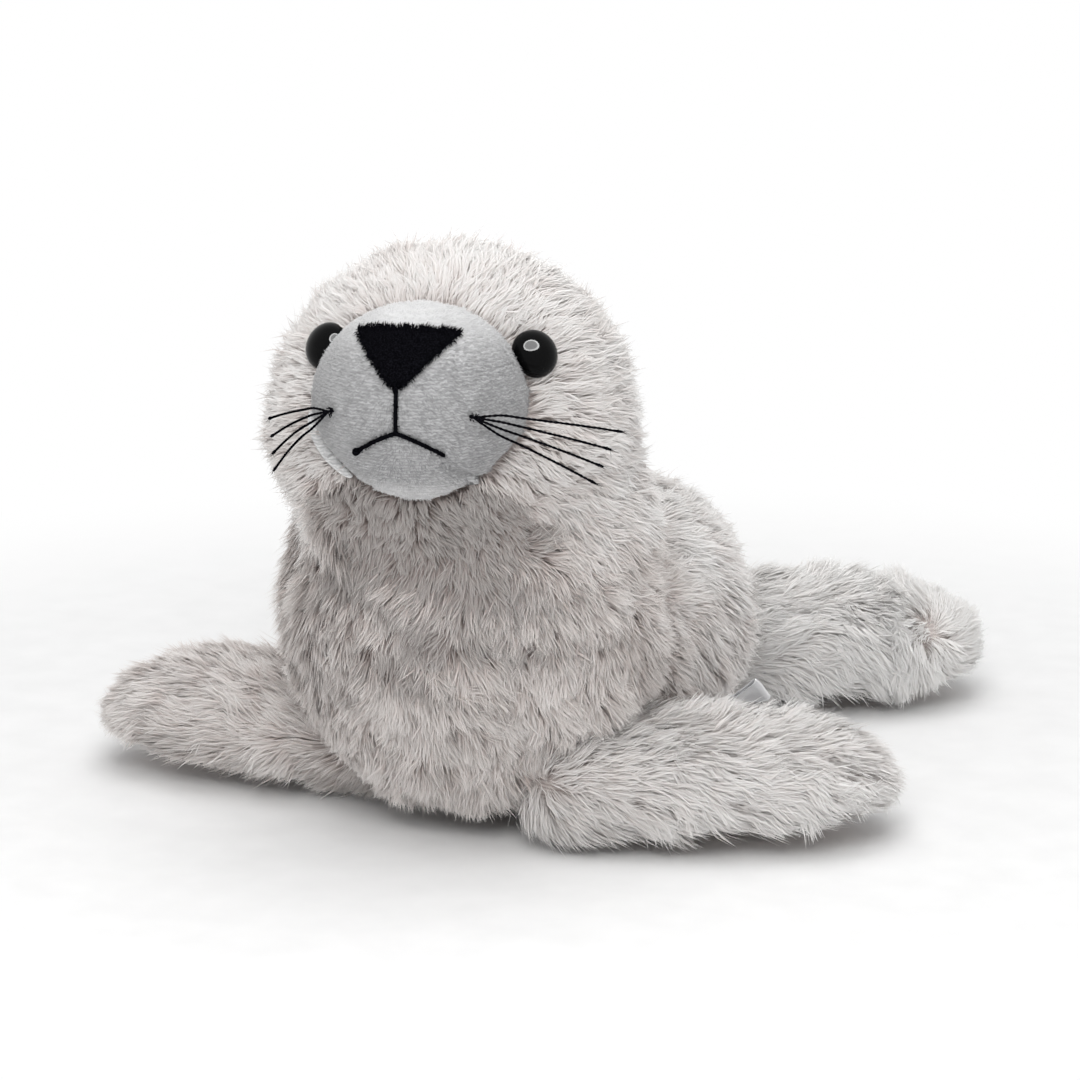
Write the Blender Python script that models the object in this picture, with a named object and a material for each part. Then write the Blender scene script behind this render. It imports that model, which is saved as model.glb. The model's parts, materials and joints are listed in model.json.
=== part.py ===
"""A plush seal lying on its belly, in metres with +Z up.

The seal looks along -Y and its own left side is +X. It is modelled about its chest and then moved along
the floor, so that the origin lies under the middle of its overall box. Its head is turned a little to its
left and lifted. Each stuffed piece is one closed solid of the cloth and its filling, with the pile laid
down.
"""

import math

import bmesh
import bpy
from mathutils import Matrix, Vector
from mathutils.bvhtree import BVHTree

MM = 0.001

# Room between two pieces that are sewn or pressed together
SEAM_GAP = 0.5 * MM

# Head, without its pile
HEAD_WIDTH = 121 * MM
HEAD_CENTRE = Vector((-1.5, -62, 137)) * MM
HEAD_TURN = math.radians(14)
HEAD_LIFT = math.radians(14)

# Lobes of the head: half sizes as shares of half its width, and where they lie from its middle
CROWN_SHARES = Vector((0.94, 0.93, 0.83))
CROWN_OFFSET = Vector((0, 2, 3)) * MM
CHEEK_SHARES = Vector((1.0, 0.80, 0.66))
CHEEK_OFFSET = Vector((0, -4, -12)) * MM

# Torso: width and length of the bag, and how high its chest and its rump stand
TORSO_WIDTH = 128 * MM
CHEST_HEIGHT = 132 * MM
RUMP_HEIGHT = 72 * MM
TORSO_FRONT = -103 * MM
TORSO_BACK = 142 * MM

# Lobes of the torso: half sizes as shares of half its width, of its length and of the lobe's own height
CHEST_DEPTH_SHARE = 0.215
CHEST_CENTRE_SHARE = 0.52
NECK_SHARES = Vector((0.97, 0.2, 0.36))
NECK_CENTRE_SHARE = 0.74
BACK_SHARES = Vector((1.0, 0.38, 0.72))
BACK_CENTRE_SHARE = 0.64
RUMP_SHARES = Vector((0.72, 0.27, 0.56))
RUMP_CENTRE_SHARE = 0.44

# Fold of the cloth that hangs under the chin
FOLD_LOW = 101 * MM
FOLD_RISE = 16 * MM
FOLD_DEPTH = 4 * MM
FOLD_WIDTH = 18 * MM

# Muzzle: a stuffed dome of short pile, seated in the front of the head
MUZZLE_WIDTH = 69 * MM
MUZZLE_HEIGHT = 63 * MM
MUZZLE_SEAT = 18.5 * MM
MUZZLE_BASE = HEAD_WIDTH / 2 - MUZZLE_SEAT
MUZZLE_REACH = 38 * MM

# Embroidery on the muzzle
NOSE_WIDTH = 30.5 * MM
NOSE_HEIGHT = 20 * MM
NOSE_TOP = 22 * MM
NOSE_DIP = 1.2 * MM
NOSE_CORNER = 2 * MM
STITCH_PILE = 1.0 * MM
MOUTH_DROP = 13 * MM
MOUTH_BRANCH = 13.5 * MM
MOUTH_SAG = 6 * MM
MOUTH_STITCH = 1.7 * MM

# Safety eyes
EYE_DIAMETER = 15 * MM
EYE_DOME = 5.4 * MM
EYE_SPREAD = math.radians(39)
EYE_RISE = math.radians(17)
EYE_TURN = math.radians(1.2)
EYE_SEAT = 1.6 * MM
EYE_RIM = 0.9 * MM
SHANK_DIAMETER = 4 * MM
SHANK_LENGTH = 13 * MM
WASHER_DIAMETER = 16 * MM
WASHER_THICKNESS = 1.6 * MM
WASHER_DEPTH = 8 * MM

# Whiskers: four threads on each side of the muzzle
WHISKER_DIAMETER = 0.8 * MM
WHISKER_SPACING = 1.1 * MM
WHISKER_CLEARANCE = SEAM_GAP + 0.1 * MM
WHISKER_LENGTH = 44 * MM
WHISKER_RISE = 6 * MM
WHISKER_SAG = 2 * MM
WHISKER_ROOT = Vector((0.62, -0.16))
WHISKERS_A_SIDE = 4
WHISKER_FALL = math.radians(1)
WHISKER_FAN = math.radians(20)
LEFT_WHISKER_SWEEP = math.radians(26)
RIGHT_WHISKER_SWEEP = math.radians(58)

# Front flippers
LEFT_FRONT_ROOT = Vector((30, -61, 19)) * MM
LEFT_FRONT_TIP = Vector((130, -9, 19)) * MM
RIGHT_FRONT_ROOT = Vector((-30, -36, 20)) * MM
RIGHT_FRONT_TIP = Vector((-140, -40, 20)) * MM
FRONT_WIDTH = 69 * MM
FRONT_THICKNESS = 42 * MM
FRONT_ROOT_SHARE = 0.62

# Rear flippers
REAR_ROOT = Vector((14, 94, 23)) * MM
REAR_TIP = Vector((101, 155, 20)) * MM
REAR_WIDTH = 68 * MM
REAR_THICKNESS = 48 * MM
REAR_ROOT_SHARE = 0.64

# Shape of a flipper: where its end begins to round and how square it is, and how its root is gathered
END_ROUND_FROM = 0.44
END_SQUARENESS = 2.5
ROOT_ROUND_TO = 0.14
TIP_THINNING = 0.15
TOP_ARCH_SHARE = 0.04
GATHER_DEPTH = 0.09
GATHER_REACH = 0.35
GATHERS = 5

# Sewn-in label: a bare loop of tape in the left side seam
LABEL_WIDTH = 13 * MM
LABEL_LENGTH = 15 * MM
LABEL_THICKNESS = 1.2 * MM
LABEL_ROOT = 4 * MM
LABEL_PLACE = Vector((0, 24, 24)) * MM
LABEL_WAY = Vector((1, -0.1, 0.05))

# Mesh fineness of the torso and head, and how near a corner is to the floor to be set on it
CLOTH_FACET = 8.4 * MM
FLOOR_SNAP = 1.6 * MM


def clear_scene():
    for obj in list(bpy.data.objects):
        bpy.data.objects.remove(obj, do_unlink=True)


def principled(name, colour, roughness):
    material = bpy.data.materials.new(name)
    material.use_nodes = True
    shader = material.node_tree.nodes["Principled BSDF"]
    shader.inputs["Base Color"].default_value = (*colour, 1)
    shader.inputs["Roughness"].default_value = roughness
    shader.inputs["Metallic"].default_value = 0
    return material


def head_frame():
    """Middle of the head, with its own -Y along the way it looks."""
    turn = Matrix.Rotation(HEAD_TURN, 4, "Z") @ Matrix.Rotation(-HEAD_LIFT, 4, "X")
    return Matrix.Translation(HEAD_CENTRE) @ turn


def new_object(name, bm, material=None):
    mesh = bpy.data.meshes.new(name)
    bm.to_mesh(mesh)
    bm.free()
    mesh.shade_smooth()
    obj = bpy.data.objects.new(name, mesh)
    bpy.context.scene.collection.objects.link(obj)
    if material:
        mesh.materials.append(material)
    return obj


def settle(obj):
    """Keeps what the modifiers make as the object's own mesh."""
    graph = bpy.context.evaluated_depsgraph_get()
    obj.data = bpy.data.meshes.new_from_object(obj.evaluated_get(graph))
    obj.modifiers.clear()


def drop_offcuts(obj):
    """Keeps the largest of the bodies that a cut leaves."""
    bm = bmesh.new()
    bm.from_mesh(obj.data)
    left = set(bm.verts)
    bodies = []
    while left:
        reached = {left.pop()}
        edge_of = list(reached)
        while edge_of:
            vert = edge_of.pop()
            for edge in vert.link_edges:
                other = edge.other_vert(vert)
                if other in left:
                    left.remove(other)
                    reached.add(other)
                    edge_of.append(other)
        bodies.append(reached)
    bodies.sort(key=len)
    offcuts = [vert for body_verts in bodies[:-1] for vert in body_verts]
    bmesh.ops.delete(bm, geom=offcuts, context="VERTS")
    bm.to_mesh(obj.data)
    bm.free()


def cut_away(obj, cutter):
    cut = obj.modifiers.new("cut", "BOOLEAN")
    cut.operation = "DIFFERENCE"
    cut.object = cutter
    settle(obj)
    bpy.data.objects.remove(cutter, do_unlink=True)
    drop_offcuts(obj)


def add_lobe(bm, centre, half, turn):
    place = Matrix.Translation(centre) @ turn @ Matrix.Diagonal((*half, 1))
    bmesh.ops.create_uvsphere(bm, u_segments=32, v_segments=20, radius=1, matrix=place)


def flat_base(obj, height):
    """Cuts a soft piece off flat where it presses on the floor."""
    bm = bmesh.new()
    bm.from_mesh(obj.data)
    geometry = bm.verts[:] + bm.edges[:] + bm.faces[:]
    floor = Vector((0, 0, height))
    cut = bmesh.ops.bisect_plane(
        bm,
        geom=geometry,
        dist=FLOOR_SNAP,
        plane_co=floor,
        plane_no=(0, 0, 1),
        use_snap_center=True,
        clear_inner=True,
    )
    rim = [item for item in cut["geom_cut"] if isinstance(item, bmesh.types.BMEdge)]
    bmesh.ops.holes_fill(bm, edges=rim)
    bm.to_mesh(obj.data)
    bm.free()


def grown(obj, distance):
    """A copy of a piece that stands out from it all round by the distance."""
    copy = obj.copy()
    copy.data = obj.data.copy()
    bpy.context.scene.collection.objects.link(copy)
    swell = copy.modifiers.new("swell", "DISPLACE")
    swell.strength = distance
    swell.mid_level = 0
    settle(copy)
    return copy


def body(material):
    """Head and torso, sewn as one bag, with a soft fold where the neck meets the chest."""
    head = head_frame()
    head_turn = head.to_3x3().to_4x4()
    upright = Matrix.Identity(4)
    half_head = HEAD_WIDTH / 2
    half_torso = TORSO_WIDTH / 2
    length = TORSO_BACK - TORSO_FRONT
    half_chest = CHEST_DEPTH_SHARE * length
    middle = TORSO_FRONT + half_chest
    bm = bmesh.new()
    add_lobe(bm, head @ CROWN_OFFSET, CROWN_SHARES * half_head, head_turn)
    add_lobe(bm, head @ CHEEK_OFFSET, CHEEK_SHARES * half_head, head_turn)
    chest = Vector((0, middle, CHEST_HEIGHT * CHEST_CENTRE_SHARE))
    add_lobe(bm, chest, Vector((half_torso, half_chest, CHEST_HEIGHT / 2)), upright)
    neck = Vector((0, middle, CHEST_HEIGHT * NECK_CENTRE_SHARE))
    add_lobe(bm, neck, NECK_SHARES * Vector((half_torso, length, CHEST_HEIGHT)), upright)
    back = Vector((0, TORSO_FRONT + length / 2, RUMP_HEIGHT * BACK_CENTRE_SHARE))
    add_lobe(bm, back, BACK_SHARES * Vector((half_torso, length, RUMP_HEIGHT)), upright)
    rump = Vector((0, TORSO_BACK - RUMP_SHARES.y * length, RUMP_HEIGHT * RUMP_CENTRE_SHARE))
    add_lobe(bm, rump, RUMP_SHARES * Vector((half_torso, length, RUMP_HEIGHT)), upright)
    obj = new_object("body", bm, material)
    join = obj.modifiers.new("join", "REMESH")
    join.mode = "VOXEL"
    join.voxel_size = CLOTH_FACET
    soften = obj.modifiers.new("soften", "SMOOTH")
    soften.factor = 0.5
    soften.iterations = 4
    settle(obj)
    chin_fold(obj)
    flat_base(obj, 0)
    obj.data.shade_smooth()
    return obj


def chin_fold(obj):
    """Draws the cloth in along a line that sags from cheek to cheek."""
    front = Vector((0, TORSO_FRONT))
    for vert in obj.data.vertices:
        x, y, z = vert.co
        line = FOLD_LOW + FOLD_RISE * (2 * x / TORSO_WIDTH) ** 2
        near = math.exp(-((2 * (z - line) / FOLD_WIDTH) ** 2))
        reach = min(1.0, (Vector((0, y)) - front).length / (0.5 * TORSO_WIDTH))
        inward = Vector((-x, HEAD_CENTRE.y - y, 0)).normalized()
        vert.co += inward * (FOLD_DEPTH * near * (1 - reach**2))


def muzzle_point(across, up, out=0.0):
    """Point of the muzzle's surface in the head's frame, and the way out of it."""
    half = Vector((MUZZLE_WIDTH / 2, MUZZLE_REACH, MUZZLE_HEIGHT / 2))
    flat = 1 - (across / half.x) ** 2 - (up / half.z) ** 2
    y = -MUZZLE_BASE - half.y * math.sqrt(max(flat, 0))
    normal = Vector((across / half.x**2, (y + MUZZLE_BASE) / half.y**2, up / half.z**2)).normalized()
    return Vector((across, y, up)) + normal * out, normal


def muzzle(body_obj, material):
    """Dome of short pile, with its pole at the front, set on the head."""
    head = head_frame()
    bm = bmesh.new()
    half = Vector((MUZZLE_WIDTH / 2, MUZZLE_HEIGHT / 2, MUZZLE_REACH))
    place = head @ Matrix.Translation((0, -MUZZLE_BASE, 0)) @ Matrix.Rotation(math.pi / 2, 4, "X")
    bmesh.ops.create_uvsphere(
        bm, u_segments=32, v_segments=18, radius=1, matrix=place @ Matrix.Diagonal((*half, 1))
    )
    obj = new_object("muzzle", bm, material)
    cut_away(obj, grown(body_obj, SEAM_GAP))
    return obj


def raised_patch(name, outline_at, rows, columns, thickness, material):
    """Closed patch that lies on the muzzle. outline_at gives across and up for two shares."""
    head = head_frame()
    bm = bmesh.new()
    layers = []
    for out in (SEAM_GAP, SEAM_GAP + thickness):
        layer = []
        for i in range(rows + 1):
            line = []
            for j in range(columns + 1):
                across, up = outline_at(i / rows, j / columns)
                point, _ = muzzle_point(across, up, out)
                line.append(bm.verts.new(head @ point))
            layer.append(line)
        layers.append(layer)
    inner, outer = layers
    for i in range(rows):
        for j in range(columns):
            bm.faces.new((outer[i][j], outer[i + 1][j], outer[i + 1][j + 1], outer[i][j + 1]))
            bm.faces.new((inner[i][j], inner[i][j + 1], inner[i + 1][j + 1], inner[i + 1][j]))
    rim = [(0, j) for j in range(columns)] + [(i, columns) for i in range(rows)]
    rim += [(rows, j) for j in range(columns, 0, -1)] + [(i, 0) for i in range(rows, 0, -1)]
    for (i, j), (k, m) in zip(rim, rim[1:] + rim[:1]):
        bm.faces.new((inner[i][j], inner[k][m], outer[k][m], outer[i][j]))
    bmesh.ops.remove_doubles(bm, verts=bm.verts[:], dist=0.05 * MM)
    bmesh.ops.recalc_face_normals(bm, faces=bm.faces[:])
    return new_object(name, bm, material)


def nose(material):
    """Satin-stitched triangle, point down, its top edge a little hollow."""

    def outline(down, across):
        from_middle = 2 * across - 1
        spread = (1 - down) ** 0.9 + 0.05
        side = from_middle * NOSE_WIDTH / 2 * spread
        dip = NOSE_DIP * (1 - from_middle**2) * (1 - down)
        corner = NOSE_CORNER * from_middle**4 * (1 - down)
        return side, NOSE_TOP - dip - corner - NOSE_HEIGHT * down

    return raised_patch("nose_embroidery", outline, 7, 8, STITCH_PILE, material)


def on_muzzle(bm, head, points, out):
    """Corners of the mesh at flat points of the muzzle, each given as across and up."""
    return [bm.verts.new(head @ muzzle_point(point.x, point.y, out)[0]) for point in points]


def mouth(material):
    """Three stitched lines that meet under the nose, as one raised thread bar."""
    head = head_frame()
    fork = NOSE_TOP - NOSE_HEIGHT - MOUTH_DROP
    top = Vector((0, NOSE_TOP - NOSE_HEIGHT - 1.0 * MM))
    arms = [top, Vector((-MOUTH_BRANCH, fork - MOUTH_SAG)), Vector((MOUTH_BRANCH, fork - MOUTH_SAG))]
    centre = Vector((0, fork))
    steps = 5
    half = MOUTH_STITCH / 2
    ring = []
    for arm in arms:
        along = (arm - centre).normalized()
        side = Vector((-along.y, along.x))
        length = (arm - centre).length
        left = [centre + along * (length * k / steps) + side * half for k in range(1, steps + 1)]
        right = [centre + along * (length * k / steps) - side * half for k in range(steps, 0, -1)]
        ring.append((left, right))
    bm = bmesh.new()
    layers = []
    for out in (SEAM_GAP, SEAM_GAP + STITCH_PILE):
        sides = []
        for left, right in ring:
            sides.append((on_muzzle(bm, head, left, out), on_muzzle(bm, head, right[::-1], out)))
        corners = []
        for arm, after in ((0, 1), (1, 2), (2, 0)):
            middle = (ring[arm][0][0] + ring[after][1][-1]) / 2
            corners.append(centre + (middle - centre).normalized() * half * 1.2)
        layers.append((sides, on_muzzle(bm, head, corners, out), on_muzzle(bm, head, [centre], out)[0]))
    for number, (sides, corners, hub) in enumerate(layers):
        for arm, (left, right) in enumerate(sides):
            after, before = corners[arm], corners[arm - 1]
            faces = [(hub, after, left[0]), (hub, left[0], right[0]), (hub, right[0], before)]
            faces += [(left[k], left[k + 1], right[k + 1], right[k]) for k in range(steps - 1)]
            for face in faces:
                bm.faces.new(face if number else face[::-1])
    (inner, inner_corners, _), (outer, outer_corners, _) = layers
    for arm in range(3):
        low = [inner_corners[arm]] + inner[arm][0] + inner[arm][1][::-1] + [inner_corners[arm - 1]]
        high = [outer_corners[arm]] + outer[arm][0] + outer[arm][1][::-1] + [outer_corners[arm - 1]]
        for k in range(len(low) - 1):
            bm.faces.new((low[k], low[k + 1], high[k + 1], high[k]))
    bmesh.ops.recalc_face_normals(bm, faces=bm.faces[:])
    return new_object("mouth_stitching", bm, material)


def turned(name, profile, segments, place, material=None):
    """Solid turned about Z from a profile that starts and ends on the axis."""
    bm = bmesh.new()
    verts = [bm.verts.new((radius, 0, height)) for radius, height in profile]
    edges = [bm.edges.new(pair) for pair in zip(verts, verts[1:])]
    bmesh.ops.spin(
        bm,
        geom=verts + edges,
        cent=(0, 0, 0),
        axis=(0, 0, 1),
        angle=2 * math.pi,
        steps=segments,
        use_merge=True,
    )
    bmesh.ops.remove_doubles(bm, verts=bm.verts[:], dist=0.001 * MM)
    bmesh.ops.recalc_face_normals(bm, faces=bm.faces[:])
    bm.transform(place)
    return new_object(name, bm, material)


def eye_place(side, tree):
    """Frame of an eye, with +Z out of the head, at the point where it meets the cloth."""
    head = head_frame()
    spread = side * EYE_SPREAD + EYE_TURN
    level = math.cos(EYE_RISE)
    way = Vector((math.sin(spread) * level, -math.cos(spread) * level, math.sin(EYE_RISE)))
    way = head.to_3x3() @ way
    far = HEAD_CENTRE + way * HEAD_WIDTH
    point, _, _, _ = tree.ray_cast(far, -way)
    return Matrix.Translation(point) @ way.to_track_quat("Z", "Y").to_matrix().to_4x4()


def eye(side_name, side, body_obj, muzzle_obj, tree, eye_material, washer_material):
    """Domed button on a shank through the cloth, held by a washer inside."""
    place = eye_place(side, tree)
    radius = EYE_DIAMETER / 2
    shank = SHANK_DIAMETER / 2
    washer = WASHER_DIAMETER / 2
    seat = -EYE_SEAT
    dome = [
        (radius * math.sin(angle), EYE_RIM + seat + EYE_DOME * math.cos(angle))
        for angle in (math.radians(step) for step in (0, 18, 36, 54, 72, 90))
    ]
    profile = dome + [(radius, seat), (shank, seat), (shank, -SHANK_LENGTH), (0, -SHANK_LENGTH)]
    button = turned(f"{side_name}_eye", profile, 24, place, eye_material)
    cut_away(muzzle_obj, grown(button, SEAM_GAP))

    gap = SEAM_GAP
    top = -WASHER_DEPTH
    bottom = top - WASHER_THICKNESS
    hole = shank + gap
    ring = [(hole, top), (washer, top), (washer, bottom), (hole, bottom), (hole, top)]
    turned(f"{side_name}_eye_washer", ring, 16, place, washer_material)

    above = EYE_DOME + 3 * MM
    pocket = [
        (0, above),
        (radius + gap, above),
        (radius + gap, seat - gap),
        (hole, seat - gap),
        (hole, top + gap),
        (washer + gap, top + gap),
        (washer + gap, bottom - gap),
        (hole, bottom - gap),
        (hole, -SHANK_LENGTH - gap),
        (0, -SHANK_LENGTH - gap),
    ]
    cut_away(body_obj, turned("pocket", pocket, 24, place))


def flipper(name, root, tip, width, thickness, root_share, body_obj, material):
    """Stuffed paddle, gathered at its root, round at its tip and flat on the floor."""
    along = tip - root
    length = along.length
    forward = along.normalized()
    across = Vector((0, 0, 1)).cross(forward).normalized()
    up = forward.cross(across)
    arch = TOP_ARCH_SHARE * thickness
    around = 20
    stations = 15
    bm = bmesh.new()
    rings = []
    for i in range(stations):
        share = math.sin(math.pi / 2 * i / stations)
        late = max(0.0, (share - END_ROUND_FROM) / (1 - END_ROUND_FROM))
        close = (1 - late**END_SQUARENESS) ** (1 / END_SQUARENESS)
        start = max(0.0, 1 - share / ROOT_ROUND_TO)
        close *= math.sqrt(1 - 0.8 * start**2)
        early = min(1.0, share / END_ROUND_FROM)
        widen = root_share + (1 - root_share) * math.sin(early * math.pi / 2)
        thin = 1 - TIP_THINNING * share
        gather = GATHER_DEPTH * math.exp(-share / GATHER_REACH)
        centre = root + forward * (length * share) + up * (arch * math.sin(math.pi * share))
        ring = []
        for j in range(around):
            angle = 2 * math.pi * j / around
            pull = 1 + gather * math.cos(GATHERS * angle)
            out = across * (math.cos(angle) * width / 2 * widen * close * pull)
            rise = up * (math.sin(angle) * thickness / 2 * thin * close * pull)
            ring.append(bm.verts.new(centre + out + rise))
        rings.append(ring)
    for low, high in zip(rings, rings[1:]):
        for j in range(around):
            k = (j + 1) % around
            bm.faces.new((low[j], low[k], high[k], high[j]))
    for ring, point in ((rings[0], root - forward * 2 * MM), (rings[-1], tip)):
        end = bm.verts.new(point)
        for j in range(around):
            bm.faces.new((ring[j], ring[(j + 1) % around], end))
    bmesh.ops.recalc_face_normals(bm, faces=bm.faces[:])
    obj = new_object(name, bm, material)
    flat_base(obj, 0)
    cut_away(obj, grown(body_obj, SEAM_GAP))
    obj.data.shade_smooth()
    return obj


def whiskers(side_name, side, sweep, material):
    """Threads that leave the muzzle at one knot and fan out towards the cheek."""
    head = head_frame()
    root, out = muzzle_point(side * WHISKER_ROOT.x * MUZZLE_WIDTH / 2, WHISKER_ROOT.y * MUZZLE_HEIGHT / 2)
    for number in range(WHISKERS_A_SIDE):
        share = number / (WHISKERS_A_SIDE - 1)
        drop = (number - (WHISKERS_A_SIDE - 1) / 2) * WHISKER_SPACING
        start = root + out * WHISKER_CLEARANCE - Vector((0, 0, drop))
        fall = -WHISKER_FALL - WHISKER_FAN * share
        level = math.cos(fall)
        heading = Vector((side * math.cos(sweep) * level, math.sin(sweep) * level, math.sin(fall)))
        curve = bpy.data.curves.new(f"{side_name}_whisker_{number + 1}", "CURVE")
        curve.dimensions = "3D"
        curve.bevel_depth = WHISKER_DIAMETER / 2
        curve.bevel_resolution = 2
        curve.use_fill_caps = True
        spline = curve.splines.new("POLY")
        points = 8
        spline.points.add(points - 1)
        for i, point in enumerate(spline.points):
            t = i / (points - 1)
            leave = out * (WHISKER_RISE * (1 - (1 - t) ** 4))
            sag = Vector((0, 0, WHISKER_SAG * t * t))
            point.co = (*(head @ (start + heading * (WHISKER_LENGTH * t) + leave - sag)), 1)
        curve.materials.append(material)
        obj = bpy.data.objects.new(curve.name, curve)
        bpy.context.scene.collection.objects.link(obj)


def label(body_obj, tree, material):
    """Bare loop of tape, sewn into the side seam by its ends."""
    way = LABEL_WAY.normalized()
    point, _, _, _ = tree.ray_cast(LABEL_PLACE + way * HEAD_WIDTH, -way)
    place = Matrix.Translation(point) @ way.to_track_quat("X", "Z").to_matrix().to_4x4()
    bm = bmesh.new()
    size = Vector((LABEL_LENGTH + LABEL_ROOT, LABEL_WIDTH, LABEL_THICKNESS))
    centre = Matrix.Translation(((LABEL_LENGTH - LABEL_ROOT) / 2, 0, 0))
    bmesh.ops.create_cube(bm, size=1, matrix=place @ centre @ Matrix.Diagonal((*size, 1)))
    obj = new_object("sewn_label", bm, material)
    cut_away(obj, grown(body_obj, SEAM_GAP))
    obj.data.shade_flat()
    return obj


def stand_over_origin():
    """Moves the seal along the floor until its overall box is centred on the origin."""
    graph = bpy.context.evaluated_depsgraph_get()
    graph.update()
    pieces = list(bpy.context.scene.objects)
    corners = []
    for piece in pieces:
        mesh = piece.evaluated_get(graph).to_mesh()
        corners += [vert.co.copy() for vert in mesh.vertices]
        piece.evaluated_get(graph).to_mesh_clear()
    shift = Vector((0, 0, 0))
    for axis in (0, 1):
        shift[axis] = -(min(c[axis] for c in corners) + max(c[axis] for c in corners)) / 2
    for piece in pieces:
        piece.data.transform(Matrix.Translation(shift))


def mirrored(point):
    return Vector((-point.x, point.y, point.z))


def main():
    clear_scene()
    fur = principled("long_pile_fur", (0.62, 0.59, 0.57), 0.95)
    velour = principled("short_pile_velour", (0.46, 0.46, 0.47), 0.9)
    thread = principled("black_thread", (0.012, 0.012, 0.015), 0.6)
    plastic = principled("black_eye_plastic", (0.006, 0.006, 0.007), 0.12)
    washer = principled("white_washer_plastic", (0.75, 0.75, 0.74), 0.5)
    tape = principled("label_tape", (0.8, 0.8, 0.8), 0.8)

    bag = body(fur)
    snout = muzzle(bag, velour)
    nose(thread)
    mouth(thread)
    front = (FRONT_WIDTH, FRONT_THICKNESS, FRONT_ROOT_SHARE, bag, fur)
    rear = (REAR_WIDTH, REAR_THICKNESS, REAR_ROOT_SHARE, bag, fur)
    flipper("left_front_flipper", LEFT_FRONT_ROOT, LEFT_FRONT_TIP, *front)
    flipper("right_front_flipper", RIGHT_FRONT_ROOT, RIGHT_FRONT_TIP, *front)
    flipper("left_rear_flipper", REAR_ROOT, REAR_TIP, *rear)
    flipper("right_rear_flipper", mirrored(REAR_ROOT), mirrored(REAR_TIP), *rear)
    tree = BVHTree.FromObject(bag, bpy.context.evaluated_depsgraph_get())
    label(bag, tree, tape)
    for side_name, side, sweep in (("left", 1, LEFT_WHISKER_SWEEP), ("right", -1, RIGHT_WHISKER_SWEEP)):
        eye(side_name, side, bag, snout, tree, plastic, washer)
        whiskers(side_name, side, sweep, thread)
    stand_over_origin()


main()
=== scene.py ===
"""Looks of the plush seal: skins, brushed pile, velour muzzle, eyes, threads, label and studio."""

import json
import math

import bmesh
import bpy
import numpy as np
from mathutils import Matrix, Vector
from mathutils.bvhtree import BVHTree
from mathutils.kdtree import KDTree

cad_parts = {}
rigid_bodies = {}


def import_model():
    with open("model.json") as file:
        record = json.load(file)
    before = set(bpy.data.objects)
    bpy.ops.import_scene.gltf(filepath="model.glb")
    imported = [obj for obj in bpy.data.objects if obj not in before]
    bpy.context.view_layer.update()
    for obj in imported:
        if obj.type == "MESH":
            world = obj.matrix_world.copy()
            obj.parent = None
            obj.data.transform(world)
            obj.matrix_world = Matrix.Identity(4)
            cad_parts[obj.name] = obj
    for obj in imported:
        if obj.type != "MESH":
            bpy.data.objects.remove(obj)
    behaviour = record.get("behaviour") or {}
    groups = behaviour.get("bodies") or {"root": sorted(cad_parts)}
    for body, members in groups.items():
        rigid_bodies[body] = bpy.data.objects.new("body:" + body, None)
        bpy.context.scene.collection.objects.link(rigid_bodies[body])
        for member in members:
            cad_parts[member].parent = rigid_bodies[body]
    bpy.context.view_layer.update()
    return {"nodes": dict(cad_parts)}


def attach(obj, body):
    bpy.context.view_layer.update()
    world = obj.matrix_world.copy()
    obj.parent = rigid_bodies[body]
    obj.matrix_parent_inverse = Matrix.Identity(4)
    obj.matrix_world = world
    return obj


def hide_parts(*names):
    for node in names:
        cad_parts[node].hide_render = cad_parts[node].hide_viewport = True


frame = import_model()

bl_info = {
    "name": "Plush Seal",
    "version": (1, 0, 0),
    "blender": (4, 5, 0),
    "location": "3D View > Sidebar > Plush Seal",
    "description": "Dresses the packed plush seal with its pile, velour, stitching and eyes",
    "category": "Object",
}

MM = 0.001

# How much of a hair's own side shows in its shading; the rest is the skin's
CRISPNESS = 0.55

# Filling: pressure in the skins and how many steps of the cloth simulation settle it
FILLING_PRESSURE = 4
FILLING_STEPS = 20

# Cells of the skins, and how far their filling may move them
SKIN_CELL = 5 * MM
SKIN_FILL = 3 * MM
MUZZLE_CELL = 2.2 * MM
MUZZLE_FILL = 1.2 * MM

# Length of the pile in millimetres
TORSO_PILE = 12
HEAD_PILE = 12.5
FLIPPER_PILE = 13.5
VELOUR_PILE = 1.5

# Hairs and skins stop this far over the floor
FLOOR_CLEARANCE = 0.35 * MM
SKIN_CLEARANCE = 0.6 * MM

# Cloth that closes over each eye's pocket
POCKET_RADIUS = 9.2 * MM
POCKET_DEPTH = 18 * MM

# How far the rump is drawn in at its sides, and how far the flippers' roots reach into the body
RUMP_DRAWN_IN = 0.33
FRONT_REACH = 13 * MM
REAR_REACH = 20 * MM

# Fold beside the mouth, across and up on the face
CREASE_START = Vector((13, -19.5)) * MM
CREASE_END = Vector((18.5, -23.5)) * MM
CREASE_DEPTH = 1.9 * MM
CREASE_WIDTH = 1.3 * MM

# Hem of the muzzle: where it starts round the face and how far it goes, in degrees
HEM_START = 188
HEM_SWEEP = 42

# Threads of nose, mouth and whiskers
NOSE_STITCHES = 6500
MOUTH_STRAND = 0.33 * MM
MOUTH_KNOT = 1.25 * MM
WHISKER_STRAND = 0.29 * MM
WHISKER_KNOT = 0.55 * MM

# How much of each whisker's length shows, from the first to the fourth
WHISKERS_KEPT = (0.98, 0.92, 0.90, 0.88)

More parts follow.
